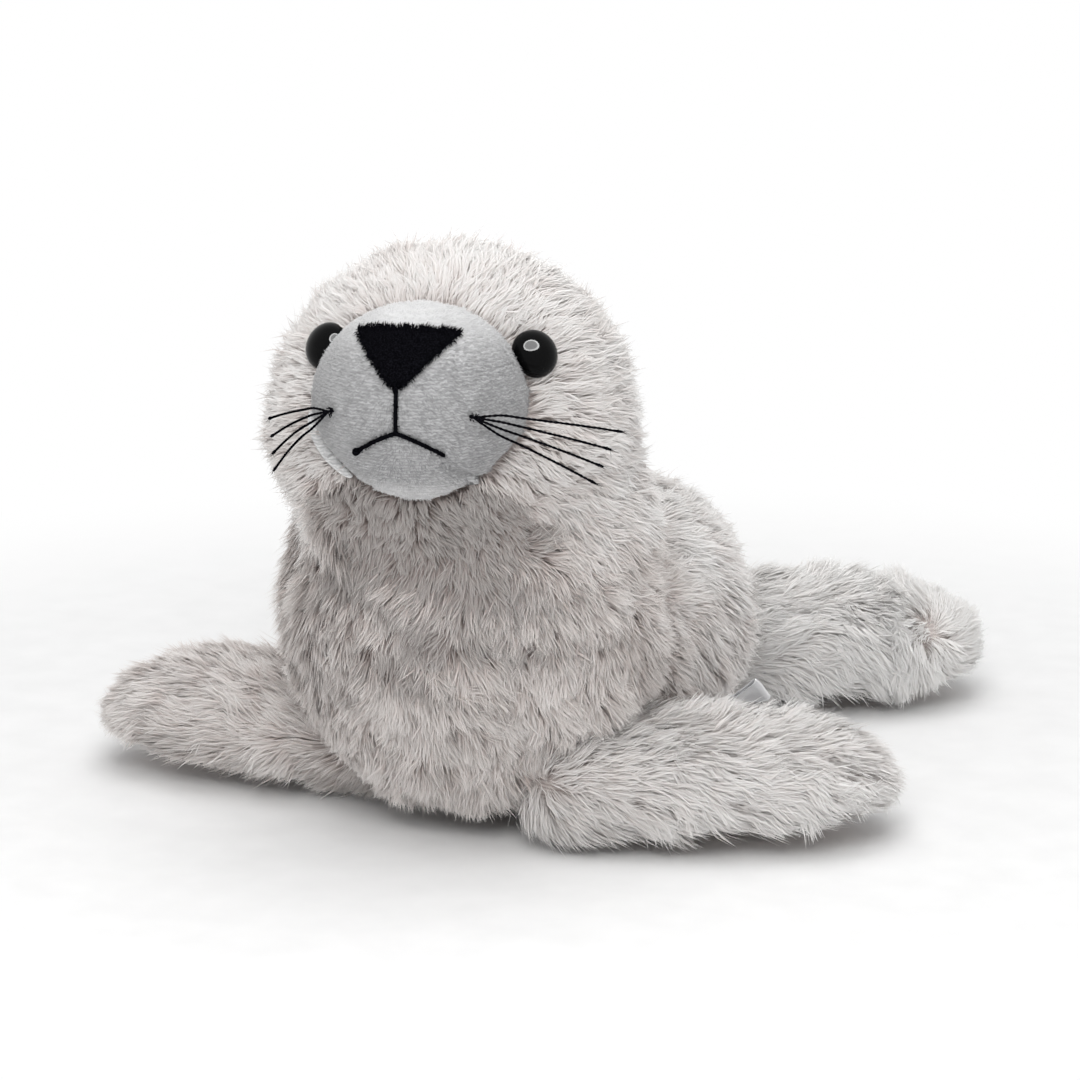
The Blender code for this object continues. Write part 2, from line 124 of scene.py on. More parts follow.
# Sizes and places of the solids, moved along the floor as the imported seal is
SHIFT = Vector((3.009, -14.142, 0)) * MM
HEAD_CENTRE = Vector((-1.5, -62, 137)) * MM + SHIFT
HEAD_TURN = math.radians(14)
HEAD_LIFT = math.radians(14)
HEAD = (
    Matrix.Translation(HEAD_CENTRE)
    @ Matrix.Rotation(HEAD_TURN, 4, "Z")
    @ Matrix.Rotation(-HEAD_LIFT, 4, "X")
)
MUZZLE_HALF = Vector((34.5, 38, 31.5)) * MM
MUZZLE_BASE = 42 * MM
NOSE_TOP = 22 * MM
NOSE_WIDTH = 30.5 * MM
NOSE_HEIGHT = 20 * MM
MOUTH_DROP = 13 * MM
MOUTH_BRANCH = 13.5 * MM
MOUTH_SAG = 6 * MM
# Centre of the painted shade under the chin, in the head's own frame
CHIN_SHADE_CENTRE = Vector((2, -48, -38)) * MM
EYE_RADIUS = 7.5 * MM
EYE_DOME = 5.4 * MM
EYE_SEAT = 1.6 * MM
EYE_RIM = 0.9 * MM
SHANK_LENGTH = 13 * MM
SHANK_RADIUS = 2 * MM
EYE_SPREAD = math.radians(39)
EYE_RISE = math.radians(17)
EYE_TURN = math.radians(1.2)
WHISKER_ROOT = Vector((0.62, 0, -0.16))
LABEL_WIDTH = 13 * MM
LABEL_LENGTH = 15 * MM
LABEL_ROOT = 4 * MM
LABEL_WAY = Vector((1, -0.1, 0.05))
LABEL_CURL = math.radians(-38)
LABEL_THICKNESS = 0.22 * MM
LABEL_FOLD = 0.8 * MM

# Each flipper: root, tip, half its width, half its thickness, its root's share and its paleness,
# which is partly the pile's own tone and partly painted light and shade, set flipper by flipper
FLIPPERS = {
    "left_front_flipper": (Vector((30, -61, 19)), Vector((130, -9, 19)), 34.5, 21, 0.62, 0.66),
    "right_front_flipper": (Vector((-30, -36, 20)), Vector((-140, -40, 20)), 34.5, 21, 0.62, 0.28),
    "left_rear_flipper": (Vector((14, 94, 23)), Vector((101, 155, 20)), 34, 24, 0.64, 0.88),
    "right_rear_flipper": (Vector((-14, 94, 23)), Vector((-101, 155, 20)), 34, 24, 0.64, 0.70),
}

# Soft lamps: shape, size, power and place
SOFTBOXES = {
    "top_softbox": ("SQUARE", 1.3, 9.8, Vector((0.1, -0.15, 1.6))),
    "front_softbox": ("DISK", 0.5, 3.4, Vector((0.30, -0.80, 0.72))),
}
EYE_DISH = ("ELLIPSE", 1.25, 170, Vector((0.41, -0.50, 1.07)))
EYE_DISH_HEIGHT = 0.85
LAMP_AIM = Vector((0, -0.04, 0.1))

# The camera stands where the photograph was taken from
CAMERA_AZIMUTH = math.radians(25)
CAMERA_ELEVATION = math.radians(14)
CAMERA_DISTANCE = 1.3
CAMERA_TARGET = Vector((0, 0, 80)) * MM + SHIFT
CAMERA_LENS = 131.31


def flipper_line(node):
    root, tip, half = FLIPPERS[node][:3]
    return root * MM + SHIFT, tip * MM + SHIFT, half * MM


def chin_share(up):
    """How much of its width the muzzle keeps at a height of its own; it narrows to the chin."""
    down = np.clip((-up - 4 * MM) / (28 * MM), 0, 1)
    return 1 - 0.17 * down**1.5


def muzzle_point(across, up, out=0.0):
    """Point over the muzzle's dome, from its own across and up."""
    half = MUZZLE_HALF
    flat = max(1 - (across / half.x) ** 2 - (up / half.z) ** 2, 0)
    y = -MUZZLE_BASE - half.y * math.sqrt(flat)
    normal = Vector((across / half.x**2, (y + MUZZLE_BASE) / half.y**2, up / half.z**2))
    normal.normalize()
    return HEAD @ (Vector((across, y, up)) + normal * out), HEAD.to_3x3() @ normal


def search_tree(obj):
    """Tree of an object's faces, for finding the nearest one or the one along a ray."""
    shell = bmesh.new()
    shell.from_mesh(obj.data)
    tree = BVHTree.FromBMesh(shell)
    shell.free()
    return tree


class Dome:
    """The finished muzzle's skin, for laying stitches on it."""

    def __init__(self):
        self.tree = search_tree(bpy.data.objects["padded_muzzle"])

    def __call__(self, across, up, out=0.0):
        place, normal = muzzle_point(across, up)
        found, _, _, _ = self.tree.ray_cast(place + normal * 8 * MM, -normal, 20 * MM)
        return (found or place) + normal * out


def eye_frame(side_name):
    """Frame of an eye: its origin where the shank leaves the cloth, and +Z out of the head."""
    side = 1 if side_name == "left" else -1
    spread = side * EYE_SPREAD + EYE_TURN
    level = math.cos(EYE_RISE)
    way = Vector((math.sin(spread) * level, -math.cos(spread) * level, math.sin(EYE_RISE)))
    way = (HEAD.to_3x3() @ way).normalized()
    corners = [v.co for v in frame["nodes"][f"{side_name}_eye"].data.vertices]
    deepest = min(c.dot(way) for c in corners)
    end = [c for c in corners if c.dot(way) < deepest + 0.1 * MM]
    low = Vector([min(c[i] for c in end) for i in range(3)])
    high = Vector([max(c[i] for c in end) for i in range(3)])
    foot = (low + high) / 2 + way * SHANK_LENGTH
    return Matrix.Translation(foot) @ way.to_track_quat("Z", "Y").to_matrix().to_4x4()


# Objects


def deselect():
    for obj in bpy.context.view_layer.objects.selected[:]:
        obj.select_set(False)


def activate(obj):
    deselect()
    bpy.context.view_layer.objects.active = obj
    obj.select_set(True)


def mesh_object(name, verts, faces):
    mesh = bpy.data.meshes.new(name)
    mesh.from_pydata([tuple(v) for v in verts], [], faces)
    mesh.update()
    mesh.shade_smooth()
    obj = bpy.data.objects.new(name, mesh)
    bpy.context.scene.collection.objects.link(obj)
    return obj


def apply_modifiers(obj):
    activate(obj)
    for modifier in list(obj.modifiers):
        bpy.ops.object.modifier_apply(modifier=modifier.name)


def dress(obj, material):
    obj.data.materials.clear()
    obj.data.materials.append(material)


def fixed_on_seal(obj):
    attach(obj, "root")


# Materials


class Nodes:
    """Adds nodes to a material, a lamp or a world and links them."""

    def __init__(self, owner):
        self.owner = owner
        owner.use_nodes = True
        self.tree = owner.node_tree
        self.shader = self.tree.nodes.get("Principled BSDF")

    def add(self, kind, **values):
        """A node, with each value set on the node or else on its input of that name."""
        node = self.tree.nodes.new(kind)
        for key, value in values.items():
            if hasattr(node, key):
                setattr(node, key, value)
            else:
                node.inputs[key.replace("_", " ").title()].default_value = value
        return node

    def link(self, source, target):
        self.tree.links.new(source, target)

    def coords(self, scale=(1, 1, 1)):
        """Object coordinates through a mapping of that scale."""
        place = self.add("ShaderNodeTexCoord")
        mapping = self.add("ShaderNodeMapping", scale=scale)
        self.link(place.outputs["Object"], mapping.inputs["Vector"])
        return mapping.outputs["Vector"]

    def texture(self, kind, place, **values):
        node = self.add(kind, **values)
        self.link(place, node.inputs["Vector"])
        return node.outputs

    def noise(self, place, **values):
        return self.texture("ShaderNodeTexNoise", place, **values)

    def wave(self, place, **values):
        return self.texture("ShaderNodeTexWave", place, **values)

    def ramp(self, source, *stops):
        node = self.add("ShaderNodeValToRGB")
        elements = node.color_ramp.elements
        while len(elements) < len(stops):
            elements.new(0.5)
        for element, (place, colour) in zip(elements, stops):
            element.position = place
            element.color = (*colour, 1)
        self.link(source, node.inputs["Fac"])
        return node.outputs["Color"]

    def mix(self, factor, first, second):
        node = self.add("ShaderNodeMix", data_type="RGBA")
        self.link(first, node.inputs[6])
        self.link(second, node.inputs[7])
        if isinstance(factor, bpy.types.NodeSocket):
            self.link(factor, node.inputs[0])
        else:
            node.inputs[0].default_value = factor
        return node.outputs[2]

    def between(self, value, **limits):
        """The value mapped from one range to another."""
        node = self.add("ShaderNodeMapRange", **limits)
        self.link(value, node.inputs["Value"])
        return node.outputs["Result"]

    def most(self, *sources):
        """The largest of the sources."""
        largest = sources[0]
        for source in sources[1:]:
            node = self.add("ShaderNodeMath", operation="MAXIMUM")
            self.link(largest, node.inputs[0])
            self.link(source, node.inputs[1])
            largest = node.outputs["Value"]
        return largest

    def seen_rays(self):
        """1 for what the camera sees, straight, through glass or in a reflection, else 0."""
        path = self.add("ShaderNodeLightPath")
        rays = ("Camera", "Transmission", "Glossy")
        return self.most(*(path.outputs[f"Is {ray} Ray"] for ray in rays))

    def bump(self, height, strength, distance):
        node = self.add("ShaderNodeBump", strength=strength, distance=distance)
        self.link(height, node.inputs["Height"])
        self.link(node.outputs["Normal"], self.shader.inputs["Normal"])

    def finish(self, colour, roughness, sheen=0.0, specular=0.5):
        self.link(colour, self.shader.inputs["Base Color"])
        self.shader.inputs["Roughness"].default_value = roughness
        self.shader.inputs["Sheen Weight"].default_value = sheen
        self.shader.inputs["Specular IOR Level"].default_value = specular
        return self.owner


def grey(level):
    return (level, level, level)


def toned(colour, share):
    """A colour made darker or paler by a share."""
    return tuple(c * share for c in colour)


def pile_material(name, grey_root, white_root, grey_tip, white_tip, shadow=0.6):
    """Brushed pile. U is how pale a hair is and V runs from its root to its tip."""
    made = Nodes(bpy.data.materials.new(name))
    uv = made.add("ShaderNodeUVMap", uv_map="OFBake")
    split = made.add("ShaderNodeSeparateXYZ")
    made.link(uv.outputs["UV"], split.inputs["Vector"])
    # At the lowest paleness the colour runs down to a painted shade: the dark colour times the
    # shadow share.
    root, tip = (
        made.ramp(split.outputs["X"], (0.02, toned(dark, shadow)), (0.15, dark), (0.92, pale))
        for dark, pale in ((grey_root, white_root), (grey_tip, white_tip))
    )
    # Darker towards the roots: partly the pile's own colour, partly painted shade between the
    # tufts.
    rise = made.ramp(split.outputs["Y"], (0.15, grey(0)), (0.5, grey(0.42)), (0.85, grey(1)))
    return made.finish(made.mix(rise, root, tip), 0.8, sheen=0.1, specular=0.0)


def backing_material(name, dark, light):
    """Knitted backing cloth between the roots of the pile."""
    made = Nodes(bpy.data.materials.new(name))
    place = made.coords()
    rows = made.wave(place, bands_direction="Z", scale=260, distortion=1.5)
    cloud = made.noise(place, scale=90, detail=5)
    weave = made.mix(0.35, cloud["Color"], rows["Color"])
    made.bump(rows["Fac"], 0.4, 0.0004)
    return made.finish(made.ramp(weave, (0.25, dark), (0.75, light)), 0.95)


def velour_material(name, dark, light):
    """Short pile in knitted rows, paler towards the crown and under the chin; the paler crown is
    partly its own colour and partly painted light from above.
    """
    made = Nodes(bpy.data.materials.new(name))
    place = made.coords()
    fleck = made.noise(made.coords((0.5, 0.7, 1.3)), scale=900, detail=3)
    rows = made.wave(
        place, bands_direction="Z", scale=290, distortion=5.5, detail=3, detail_scale=2.5
    )
    weave = made.mix(0.3, fleck["Color"], rows["Color"])
    low = made.ramp(weave, (0.3, toned(dark, 0.86)), (0.7, toned(dark, 1.3)))
    high = made.ramp(weave, (0.3, toned(light, 0.86)), (0.7, light))
    split = made.add("ShaderNodeSeparateXYZ")
    made.link(place, split.inputs["Vector"])
    # Paler towards the top: partly the velour's own colour, partly painted light from above. Paler
    # along the bottom edge under the chin.
    height = made.between(split.outputs["Z"], from_min=0.118, from_max=0.182)
    paler = ((0.1, grey(0.4)), (0.18, grey(0.05)), (0.70, grey(0.05)), (0.95, grey(0.78)))
    made.bump(rows["Fac"], 0.35, 0.0003)
    return made.finish(made.mix(made.ramp(height, *paler), low, high), 0.9, sheen=0.1, specular=0.0)


def thread_material(name, colour, painted_sheen):
    """Black thread with fine strands, some of them paler as a painted sheen."""
    made = Nodes(bpy.data.materials.new(name))
    strands = made.noise(made.coords(), scale=2400, detail=2)
    made.bump(strands["Fac"], 0.5, 0.0002)
    return made.finish(made.ramp(strands["Fac"], (0.46, colour), (0.62, painted_sheen)), 0.8, specular=0.0)


def eye_material(name, colour):
    """Polished black plastic with faint rub marks."""
    made = Nodes(bpy.data.materials.new(name))
    rub = made.noise(made.coords(), scale=420, detail=4)
    tone = made.ramp(rub["Fac"], (0.3, colour), (0.9, toned(colour, 1.6)))
    made.finish(tone, 0.08, specular=0.07)
    gloss = made.ramp(rub["Fac"], (0.4, grey(0.05)), (0.8, grey(0.11)))
    made.link(gloss, made.shader.inputs["Roughness"])
    return made.owner


def washer_material(name, colour):
    """Moulded white plastic with a faint mould grain."""
    made = Nodes(bpy.data.materials.new(name))
    grain = made.noise(made.coords(), scale=700)
    made.bump(grain["Fac"], 0.2, 0.0001)
    return made.finish(made.ramp(grain["Fac"], (0.3, toned(colour, 0.9)), (0.7, colour)), 0.5)


def tape_material(name, colour):
    """Woven satin tape with its warp lines."""
    made = Nodes(bpy.data.materials.new(name))
    place = made.coords()
    warp = made.wave(place, bands_direction="Y", scale=900, distortion=0.6)
    soil = made.noise(place, scale=220)
    tone = made.mix(0.4, warp["Color"], soil["Color"])
    made.bump(warp["Fac"], 0.3, 0.0001)
    return made.finish(made.ramp(tone, (0.2, toned(colour, 0.86)), (0.8, colour)), 0.55, sheen=0.2)


def floor_material():
    """Pale paper sweep: it keeps the shadow near the seal and turns to plain white further out."""
    made = Nodes(bpy.data.materials.new("pale_floor"))
    place = made.coords()
    far = made.add("ShaderNodeVectorMath", operation="LENGTH")
    made.link(place, far.inputs[0])
    fade = made.between(
        far.outputs["Value"], interpolation_type="SMOOTHSTEP", from_min=0.20, from_max=0.42
    )
    amount = made.add("ShaderNodeMath", operation="MULTIPLY")
    made.link(fade, amount.inputs[0])
    made.link(made.seen_rays(), amount.inputs[1])
    grain = made.noise(place, scale=60)
    made.finish(made.ramp(grain["Fac"], (0.3, grey(0.90)), (0.7, grey(0.93))), 0.9, specular=0.0)
    glow = made.add("ShaderNodeEmission")
    glow.inputs["Color"].default_value = (1, 1, 1, 1)
    blend = made.add("ShaderNodeMixShader")
    for socket, source in zip(blend.inputs, (amount, made.shader, glow)):
        made.link(source.outputs[0], socket)
    made.link(blend.outputs[0], made.tree.nodes["Material Output"].inputs["Surface"])
    return made.owner


# Stuffed skins


def close_eye_pockets(obj):
    """Closes the cloth of a copy of the body over the holes for the eyes' shanks."""
    bm = bmesh.new()
    bm.from_mesh(obj.data)
    for side_name in ("left", "right"):
        into = eye_frame(side_name).inverted()
        inside = []
        for vert in bm.verts:
            p = into @ vert.co
            if math.hypot(p.x, p.y) < POCKET_RADIUS and abs(p.z) < POCKET_DEPTH:
                inside.append(vert)
        bmesh.ops.delete(bm, geom=inside, context="VERTS")
        rim = [edge for edge in bm.edges if edge.is_boundary]
        bmesh.ops.holes_fill(bm, edges=rim)
    bmesh.ops.triangulate(bm, faces=bm.faces[:])
    bm.to_mesh(obj.data)
    bm.free()


def draw_in_rump(obj):
    """Thins the stuffing low at the sides of the rump, where the rear flippers start."""
    for vert in obj.data.vertices:
        x, y, z = vert.co
        behind = float(step(np.array(y), 2 * MM, 72 * MM))
        low = 1 - float(step(np.array(z), 45 * MM, 88 * MM))
        vert.co.x = x * (1 - RUMP_DRAWN_IN * behind * low)


def reach_in(obj, node):
    """The root of a flipper goes in under the pile of chest or rump."""
    root, tip = flipper_line(node)[:2]
    reach = REAR_REACH if "rear" in node else FRONT_REACH
    forward = (tip - root).normalized()
    for vert in obj.data.vertices:
        t = (vert.co - root).dot(forward) / (tip - root).length
        vert.co -= forward * reach * (1 - float(step(np.array(t), 0.1, 0.6)))


def inflate(obj, cap):
    """Fills the skin by a cloth simulation with pressure. No point moves further than the cap."""
    start = np.array([v.co for v in obj.data.vertices])
    cloth = obj.modifiers.new("filling", "CLOTH")
    cloth.settings.use_pressure = True
    cloth.settings.uniform_pressure_force = FILLING_PRESSURE
    cloth.settings.effector_weights.gravity = 0
    cloth.point_cache.frame_start = 1
    cloth.point_cache.frame_end = FILLING_STEPS
    scene = bpy.context.scene
    for number in range(1, FILLING_STEPS + 1):
        scene.frame_set(number)
    graph = bpy.context.evaluated_depsgraph_get()
    swollen = np.array([v.co for v in obj.evaluated_get(graph).data.vertices])
    obj.modifiers.remove(cloth)
    scene.frame_set(1)
    move = swollen - start
    far = np.linalg.norm(move, axis=1, keepdims=True)
    move *= np.minimum(1, cap / np.maximum(far, 1e-9))
    obj.data.vertices.foreach_set("co", (start + move).astype(np.float32).ravel())
    obj.data.update()


def stuffed_skin(name, node, sink, voxel, cap):
    """A closed skin that lies the sink inside a node's solid, filled until it is taut."""
    source = frame["nodes"][node]
    obj = bpy.data.objects.new(name, source.data.copy())
    bpy.context.scene.collection.objects.link(obj)
    bm = bmesh.new()
    bm.from_mesh(obj.data)
    bmesh.ops.remove_doubles(bm, verts=bm.verts[:], dist=0.05 * MM)
    bm.to_mesh(obj.data)
    bm.free()
    if node == "body":
        close_eye_pockets(obj)
    remesh = obj.modifiers.new("even", "REMESH")
    remesh.mode = "VOXEL"
    remesh.voxel_size = voxel
    shrink = obj.modifiers.new("sink", "DISPLACE")
    shrink.strength = -(sink + cap * 0.6)
    shrink.mid_level = 0
    soften = obj.modifiers.new("soften", "SMOOTH")
    soften.iterations = 3
    apply_modifiers(obj)
    if node == "body":
        draw_in_rump(obj)
    if node in FLIPPERS:
        reach_in(obj, node)
    inflate(obj, cap)
    finer = obj.modifiers.new("finer", "SUBSURF")
    finer.levels = 1
    finer.render_levels = 1
    apply_modifiers(obj)
    for vert in obj.data.vertices:
        vert.co.z = max(vert.co.z, SKIN_CLEARANCE)
    obj.data.shade_smooth()
    return obj


# Pile


class Surface:
    """Triangles of a skin with their normals, for scattering hairs on it."""

    def __init__(self, obj):
        mesh = obj.data
        mesh.calc_loop_triangles()
        self.tris = np.array([t.vertices[:] for t in mesh.loop_triangles])
        self.co = np.array([v.co[:] for v in mesh.vertices])
        self.no = np.array([v.normal[:] for v in mesh.vertices])
        corner = self.co[self.tris]
        self.middle = corner.mean(axis=1)
        crossed = np.cross(corner[:, 1] - corner[:, 0], corner[:, 2] - corner[:, 0])
        self.area = np.linalg.norm(crossed, axis=1) / 2
        self.facing = unit(crossed)

    def scatter(self, count, weight, rng):
        chance = self.area * weight(self.middle, self.facing)
        pick = rng.choice(len(self.tris), size=count, p=chance / chance.sum())
        a, b = rng.random(count), rng.random(count)
        over = a + b > 1
        a[over], b[over] = 1 - a[over], 1 - b[over]
        share = np.stack([1 - a - b, a, b], axis=1)[:, :, None]
        corners = self.tris[pick]
        return (self.co[corners] * share).sum(axis=1), unit((self.no[corners] * share).sum(axis=1))


def unit(vectors):
    return vectors / np.maximum(np.linalg.norm(vectors, axis=-1, keepdims=True), 1e-12)


def smooth_noise(points, size, seed):
    """Slow random vectors over space, made of crossing waves about that size apart."""
    rng = np.random.default_rng(seed)
    total = np.zeros((len(points), 3))
    for _ in range(9):
        wave = unit(rng.normal(size=3)) * 2 * math.pi / (size * rng.uniform(0.7, 1.6))
        total += np.sin(points @ wave + rng.uniform(0, 2 * math.pi))[:, None] * rng.normal(size=3)
    return total / 3


def step(value, low, high):
    share = np.clip((value - low) / (high - low), 0, 1)
    return share * share * (3 - 2 * share)


def along_skin(way, normals):
    return unit(way - normals * (way * normals).sum(axis=1, keepdims=True))


def grow(name, surface, count, tuft, coat, weight, seed, width, pull=0.5, stray=0.14, wild=0.3,
         mottle=0.08, tone=0.08, crisp=CRISPNESS):
    """A coat of hairs in tufts. coat(points, normals) gives way, length, lift and paleness."""
    rng = np.random.default_rng(seed)
    roots, normals = surface.scatter(count, weight, rng)
    tufts = max(8, int(surface_share(surface, weight) / (tuft * MM) ** 2))
    centres, centre_no = surface.scatter(tufts, weight, rng)
    way, length, lift, pale = coat(centres, centre_no)
    way = along_skin(way + wild * rng.normal(size=way.shape), centre_no)
    length = length * rng.uniform(0.82, 1.14, tufts)
    lift = lift * rng.uniform(0.7, 1.3, tufts)
    pale = pale + rng.normal(0, mottle, tufts)
    tree = KDTree(tufts)
    for i, centre in enumerate(centres):
        tree.insert(centre, i)
    tree.balance()
    near = np.array([tree.find(root)[1] for root in roots])
    spread = roots - centres[near]
    spread -= normals * (spread * normals).sum(axis=1, keepdims=True)
    own_way, own_length, own_lift, own_pale = coat(roots, normals)
    blend = np.where(rng.random(count) < stray, 0.9, 0.35)[:, None]
    heading = way[near] * (1 - blend) + own_way * blend + 0.10 * rng.normal(size=roots.shape)
    heading = along_skin(heading, normals)
    reach = (length[near] * 0.7 + own_length * 0.3) * rng.uniform(0.5, 1.06, count) ** 0.7
    rise = lift[near] * 0.7 + own_lift * 0.3 + rng.normal(0, 0.07, count)
    rise = rise + np.where(rng.random(count) < 0.06, rng.uniform(0.1, 0.5, count), 0)
    half = reach[:, None] / 2
    bend = rng.normal(0, 0.22, tufts)[near] + rng.normal(0, 0.14, count)
    curl = unit(np.cross(heading, normals)) * bend[:, None]

    def raised(angle):
        return heading * np.cos(angle)[:, None] + normals * np.sin(angle)[:, None]

    middle = roots + raised(rise * 1.15) * half
    tip = middle + (raised(rise * 0.6) + curl) * half
    hold = pull * (1 - (blend - 0.35))
    middle -= spread * hold * 0.45
    tip -= spread * hold
    pale = own_pale * 0.6 + pale[near] * 0.4 + rng.normal(0, tone, count)
    blades(name, roots, middle, tip, normals, width, pale, crisp, rng)
    return bpy.data.objects[name]


def surface_share(surface, weight):
    """Area that is covered, in square metres."""
    return float((surface.area * np.clip(weight(surface.middle, surface.facing), 0, 1)).sum())


def blades(name, roots, middle, tip, normals, width, pale, crisp, rng):
    """One mesh of hairs. Each is two triangles bent at its middle, with its tone in the UV map."""
    count = len(roots)
    for points in (roots, middle, tip):
        points[:, 2] = np.maximum(points[:, 2], FLOOR_CLEARANCE + 0.3 * MM * rng.random(count))
    along = unit(tip - roots)
    side = unit(np.cross(along, normals))
    lean = rng.uniform(-0.5, 0.5, count)[:, None]
    side = unit(side + normals * lean)
    wide = width * MM * rng.uniform(0.7, 1.25, count)[:, None] / 2
    verts = np.stack([roots, middle - side * wide, middle + side * wide, tip], axis=1)
    verts = verts.reshape(-1, 3)
    corners = np.array([0, 2, 1, 1, 2, 3])
    loops = (np.arange(count)[:, None] * 4 + corners).ravel()
    mesh = bpy.data.meshes.new(name)
    mesh.vertices.add(len(verts))
    mesh.vertices.foreach_set("co", verts.astype(np.float32).ravel())
    mesh.loops.add(len(loops))
    mesh.loops.foreach_set("vertex_index", loops.astype(np.int32))
    mesh.polygons.add(count * 2)
    mesh.polygons.foreach_set("loop_start", np.arange(0, count * 6, 3, dtype=np.int32))
    mesh.update()
    mesh.validate()
    layer = mesh.uv_layers.new(name="OFBake")
    tone = np.clip(pale, 0.03, 0.95)[:, None]
    u = tone + np.array([0.006, 0.012, 0, 0, 0.012, 0.006])
    v = np.array([0.02, 0.5, 0.5, 0.5, 0.5, 0.98]) + rng.uniform(-0.08, 0.04, count)[:, None]
    v = np.clip(v, 0.01, 0.99)
    layer.data.foreach_set("uv", np.stack([u, v], axis=2).astype(np.float32).ravel())
    mesh.shade_smooth()
    own = unit(np.cross(side, along) + 1e-9)
    own *= np.sign((own * normals).sum(axis=1, keepdims=True))
    soft = unit(normals * (1 - crisp) + own * crisp)
    mesh.normals_split_custom_set_from_vertices(np.repeat(soft, 4, axis=0))
    obj = bpy.data.objects.new(name, mesh)
    bpy.context.scene.collection.objects.link(obj)
    return obj


def keep_clear(points, ways, lengths):
    """Hairs beside the eyes are laid short, so that they don't cover them."""
    lengths = lengths.copy()
    for side_name in ("left", "right"):
        place = eye_frame(side_name)
        centre, out = np.array(place.translation), np.array(place.to_3x3().col[2])
        off = points - centre
        flat = off - out * (off @ out)[:, None]
        far = np.linalg.norm(flat, axis=1)
        toward = -(unit(flat) * ways).sum(axis=1)
        near = (far < 20 * MM) & (toward > 0.35)
        lengths[near] = np.minimum(lengths[near], np.maximum(far[near] - 6.6 * MM, 1.5 * MM))
    return lengths


def head_share(points):
    """1 on the head, 0 on the torso, with the border under the chin and behind the neck."""
    front = step(-(points[:, 1] - HEAD_CENTRE.y), -10 * MM, 45 * MM)
    middle = 1 - step(np.abs(points[:, 0] - HEAD_CENTRE.x - 8 * MM), 22 * MM, 46 * MM)
    border = 98 * MM + 27 * MM * front * middle
    border = border + smooth_noise(points, 26 * MM, 5)[:, 0] * 3 * MM
    return step(points[:, 2], border - 8 * MM, border + 7 * MM)


def body_coat(points, normals):
    """How the pile of head and torso is combed and how pale it is; its paleness also holds painted
    light and shade.
    """
    head = head_share(points)[:, None]
    muzzle = np.array(HEAD @ Vector((0, -MUZZLE_BASE - 4 * MM, -2 * MM)))
    radial = unit(points - muzzle)
    side = step(normals[:, 1], -0.7, 0.35)[:, None]
    down = np.array([0, 0, -1.0]) * (1 - 0.35 * side) + np.array([0, 0.9, 0]) * side
    down = down + points * np.array([4, 0, 0])
    below = step(-normals[:, 2], 0.15, 0.75)[:, None]
    down = down * (1 - below) + (radial + np.array([0, 0.4, 0])) * below * 1.4
    torso = down + 0.55 * smooth_noise(points, 42 * MM, 11)
    torso = torso + 0.35 * smooth_noise(points, 15 * MM, 12)
    top = radial + 0.16 * smooth_noise(points, 24 * MM, 13)
    way = along_skin(torso * (1 - head) + top * head, normals)
    head = head[:, 0]
    length = (TORSO_PILE * (1 - head) + HEAD_PILE * head) * MM
    from_muzzle = np.linalg.norm(points - muzzle, axis=1)
    length = length * (0.62 + 0.38 * step(from_muzzle, 34 * MM, 58 * MM))
    length = keep_clear(points, way, length)
    ridges = smooth_noise(points, 13 * MM, 15)[:, 0]
    flat = step(normals[:, 2], 0.2, 0.9) * 0.22
    lift = (0.62 - flat + 0.16 * ridges) * (1 - head) + (0.47 - flat + 0.10 * ridges) * head
    lift = lift + 0.42 * (1 - step(rim_distance(points), 2 * MM, 13 * MM))
    cloud = smooth_noise(points, 20 * MM, 14)[:, 0]
    length = length * (1 + 0.16 * smooth_noise(points, 28 * MM, 16)[:, 0] * (1 - head))
    # Paler on the back than on the chest: partly the pile's own tone, partly painted shade on the
    # chest under the head. Paler again where the back faces up: painted light from above.
    rear = step(points[:, 1], -60 * MM, 10 * MM)
    up = step(normals[:, 2], -0.1, 0.8)
    torso_paleness_and_light = 0.24 + 0.28 * rear + 0.28 * rear * up
    # Painted shade: the pile is made darker round the hollow under the chin, where the head's shade
    # falls.
    from_chin_shade = np.linalg.norm(points - np.array(HEAD @ CHIN_SHADE_CENTRE), axis=1)
    chin = np.exp(-((from_chin_shade / (40 * MM)) ** 2))
    pale = torso_paleness_and_light * (1 - head) + 0.68 * head + 0.09 * cloud - 0.56 * chin
    return way, length, lift, pale


def in_head(points):
    """The points in the head's own frame."""
    into = np.array(HEAD.inverted())
    return points @ into[:3, :3].T + into[:3, 3]


def rim_distance(points):
    """How far outside the muzzle's outline the points lie, seen from the front of the face."""
    own = in_head(points)
    across = own[:, 0] / chin_share(own[:, 2]) / MUZZLE_HALF.x
    behind = step(own[:, 1], -30 * MM, -15 * MM)
    return (np.hypot(across, own[:, 2] / MUZZLE_HALF.z) - 1) * MUZZLE_HALF.x + behind * 30 * MM


def in_muzzle(points):
    """Which points lie in the muzzle's dome."""
    own = in_head(points) + np.array([0, MUZZLE_BASE, 0])
    own[:, 0] /= chin_share(own[:, 2])
    return ((own / np.array(MUZZLE_HALF)) ** 2).sum(axis=1) < 0.88


def in_flipper(points, node):
    """Which points lie in a flipper."""
    root, tip, half = flipper_line(node)
    thick, share = FLIPPERS[node][3] * MM, FLIPPERS[node][4]
    along = tip - root
    off = points - np.array(root)
    forward = np.array(along.normalized())
    t = off @ forward / along.length
    widen = share + (1 - share) * np.sin(np.clip(t / 0.44, 0, 1) * math.pi / 2)
    s = off @ np.cross([0, 0, 1.0], forward) / (half * widen)
    h = off[:, 2] / (thick * widen)
    return (t > -0.05) & (t < 0.95) & (s * s + h * h < 0.92)


def inside_of(tree, points):
    """Which points lie in a closed skin without sharp rims."""
    inside = np.zeros(len(points), dtype=bool)
    for i, point in enumerate(points):
        point = Vector(point)
        near, out, _, _ = tree.find_nearest(point, 60 * MM)
        inside[i] = near is not None and (point - near).dot(out) < 0
    return inside


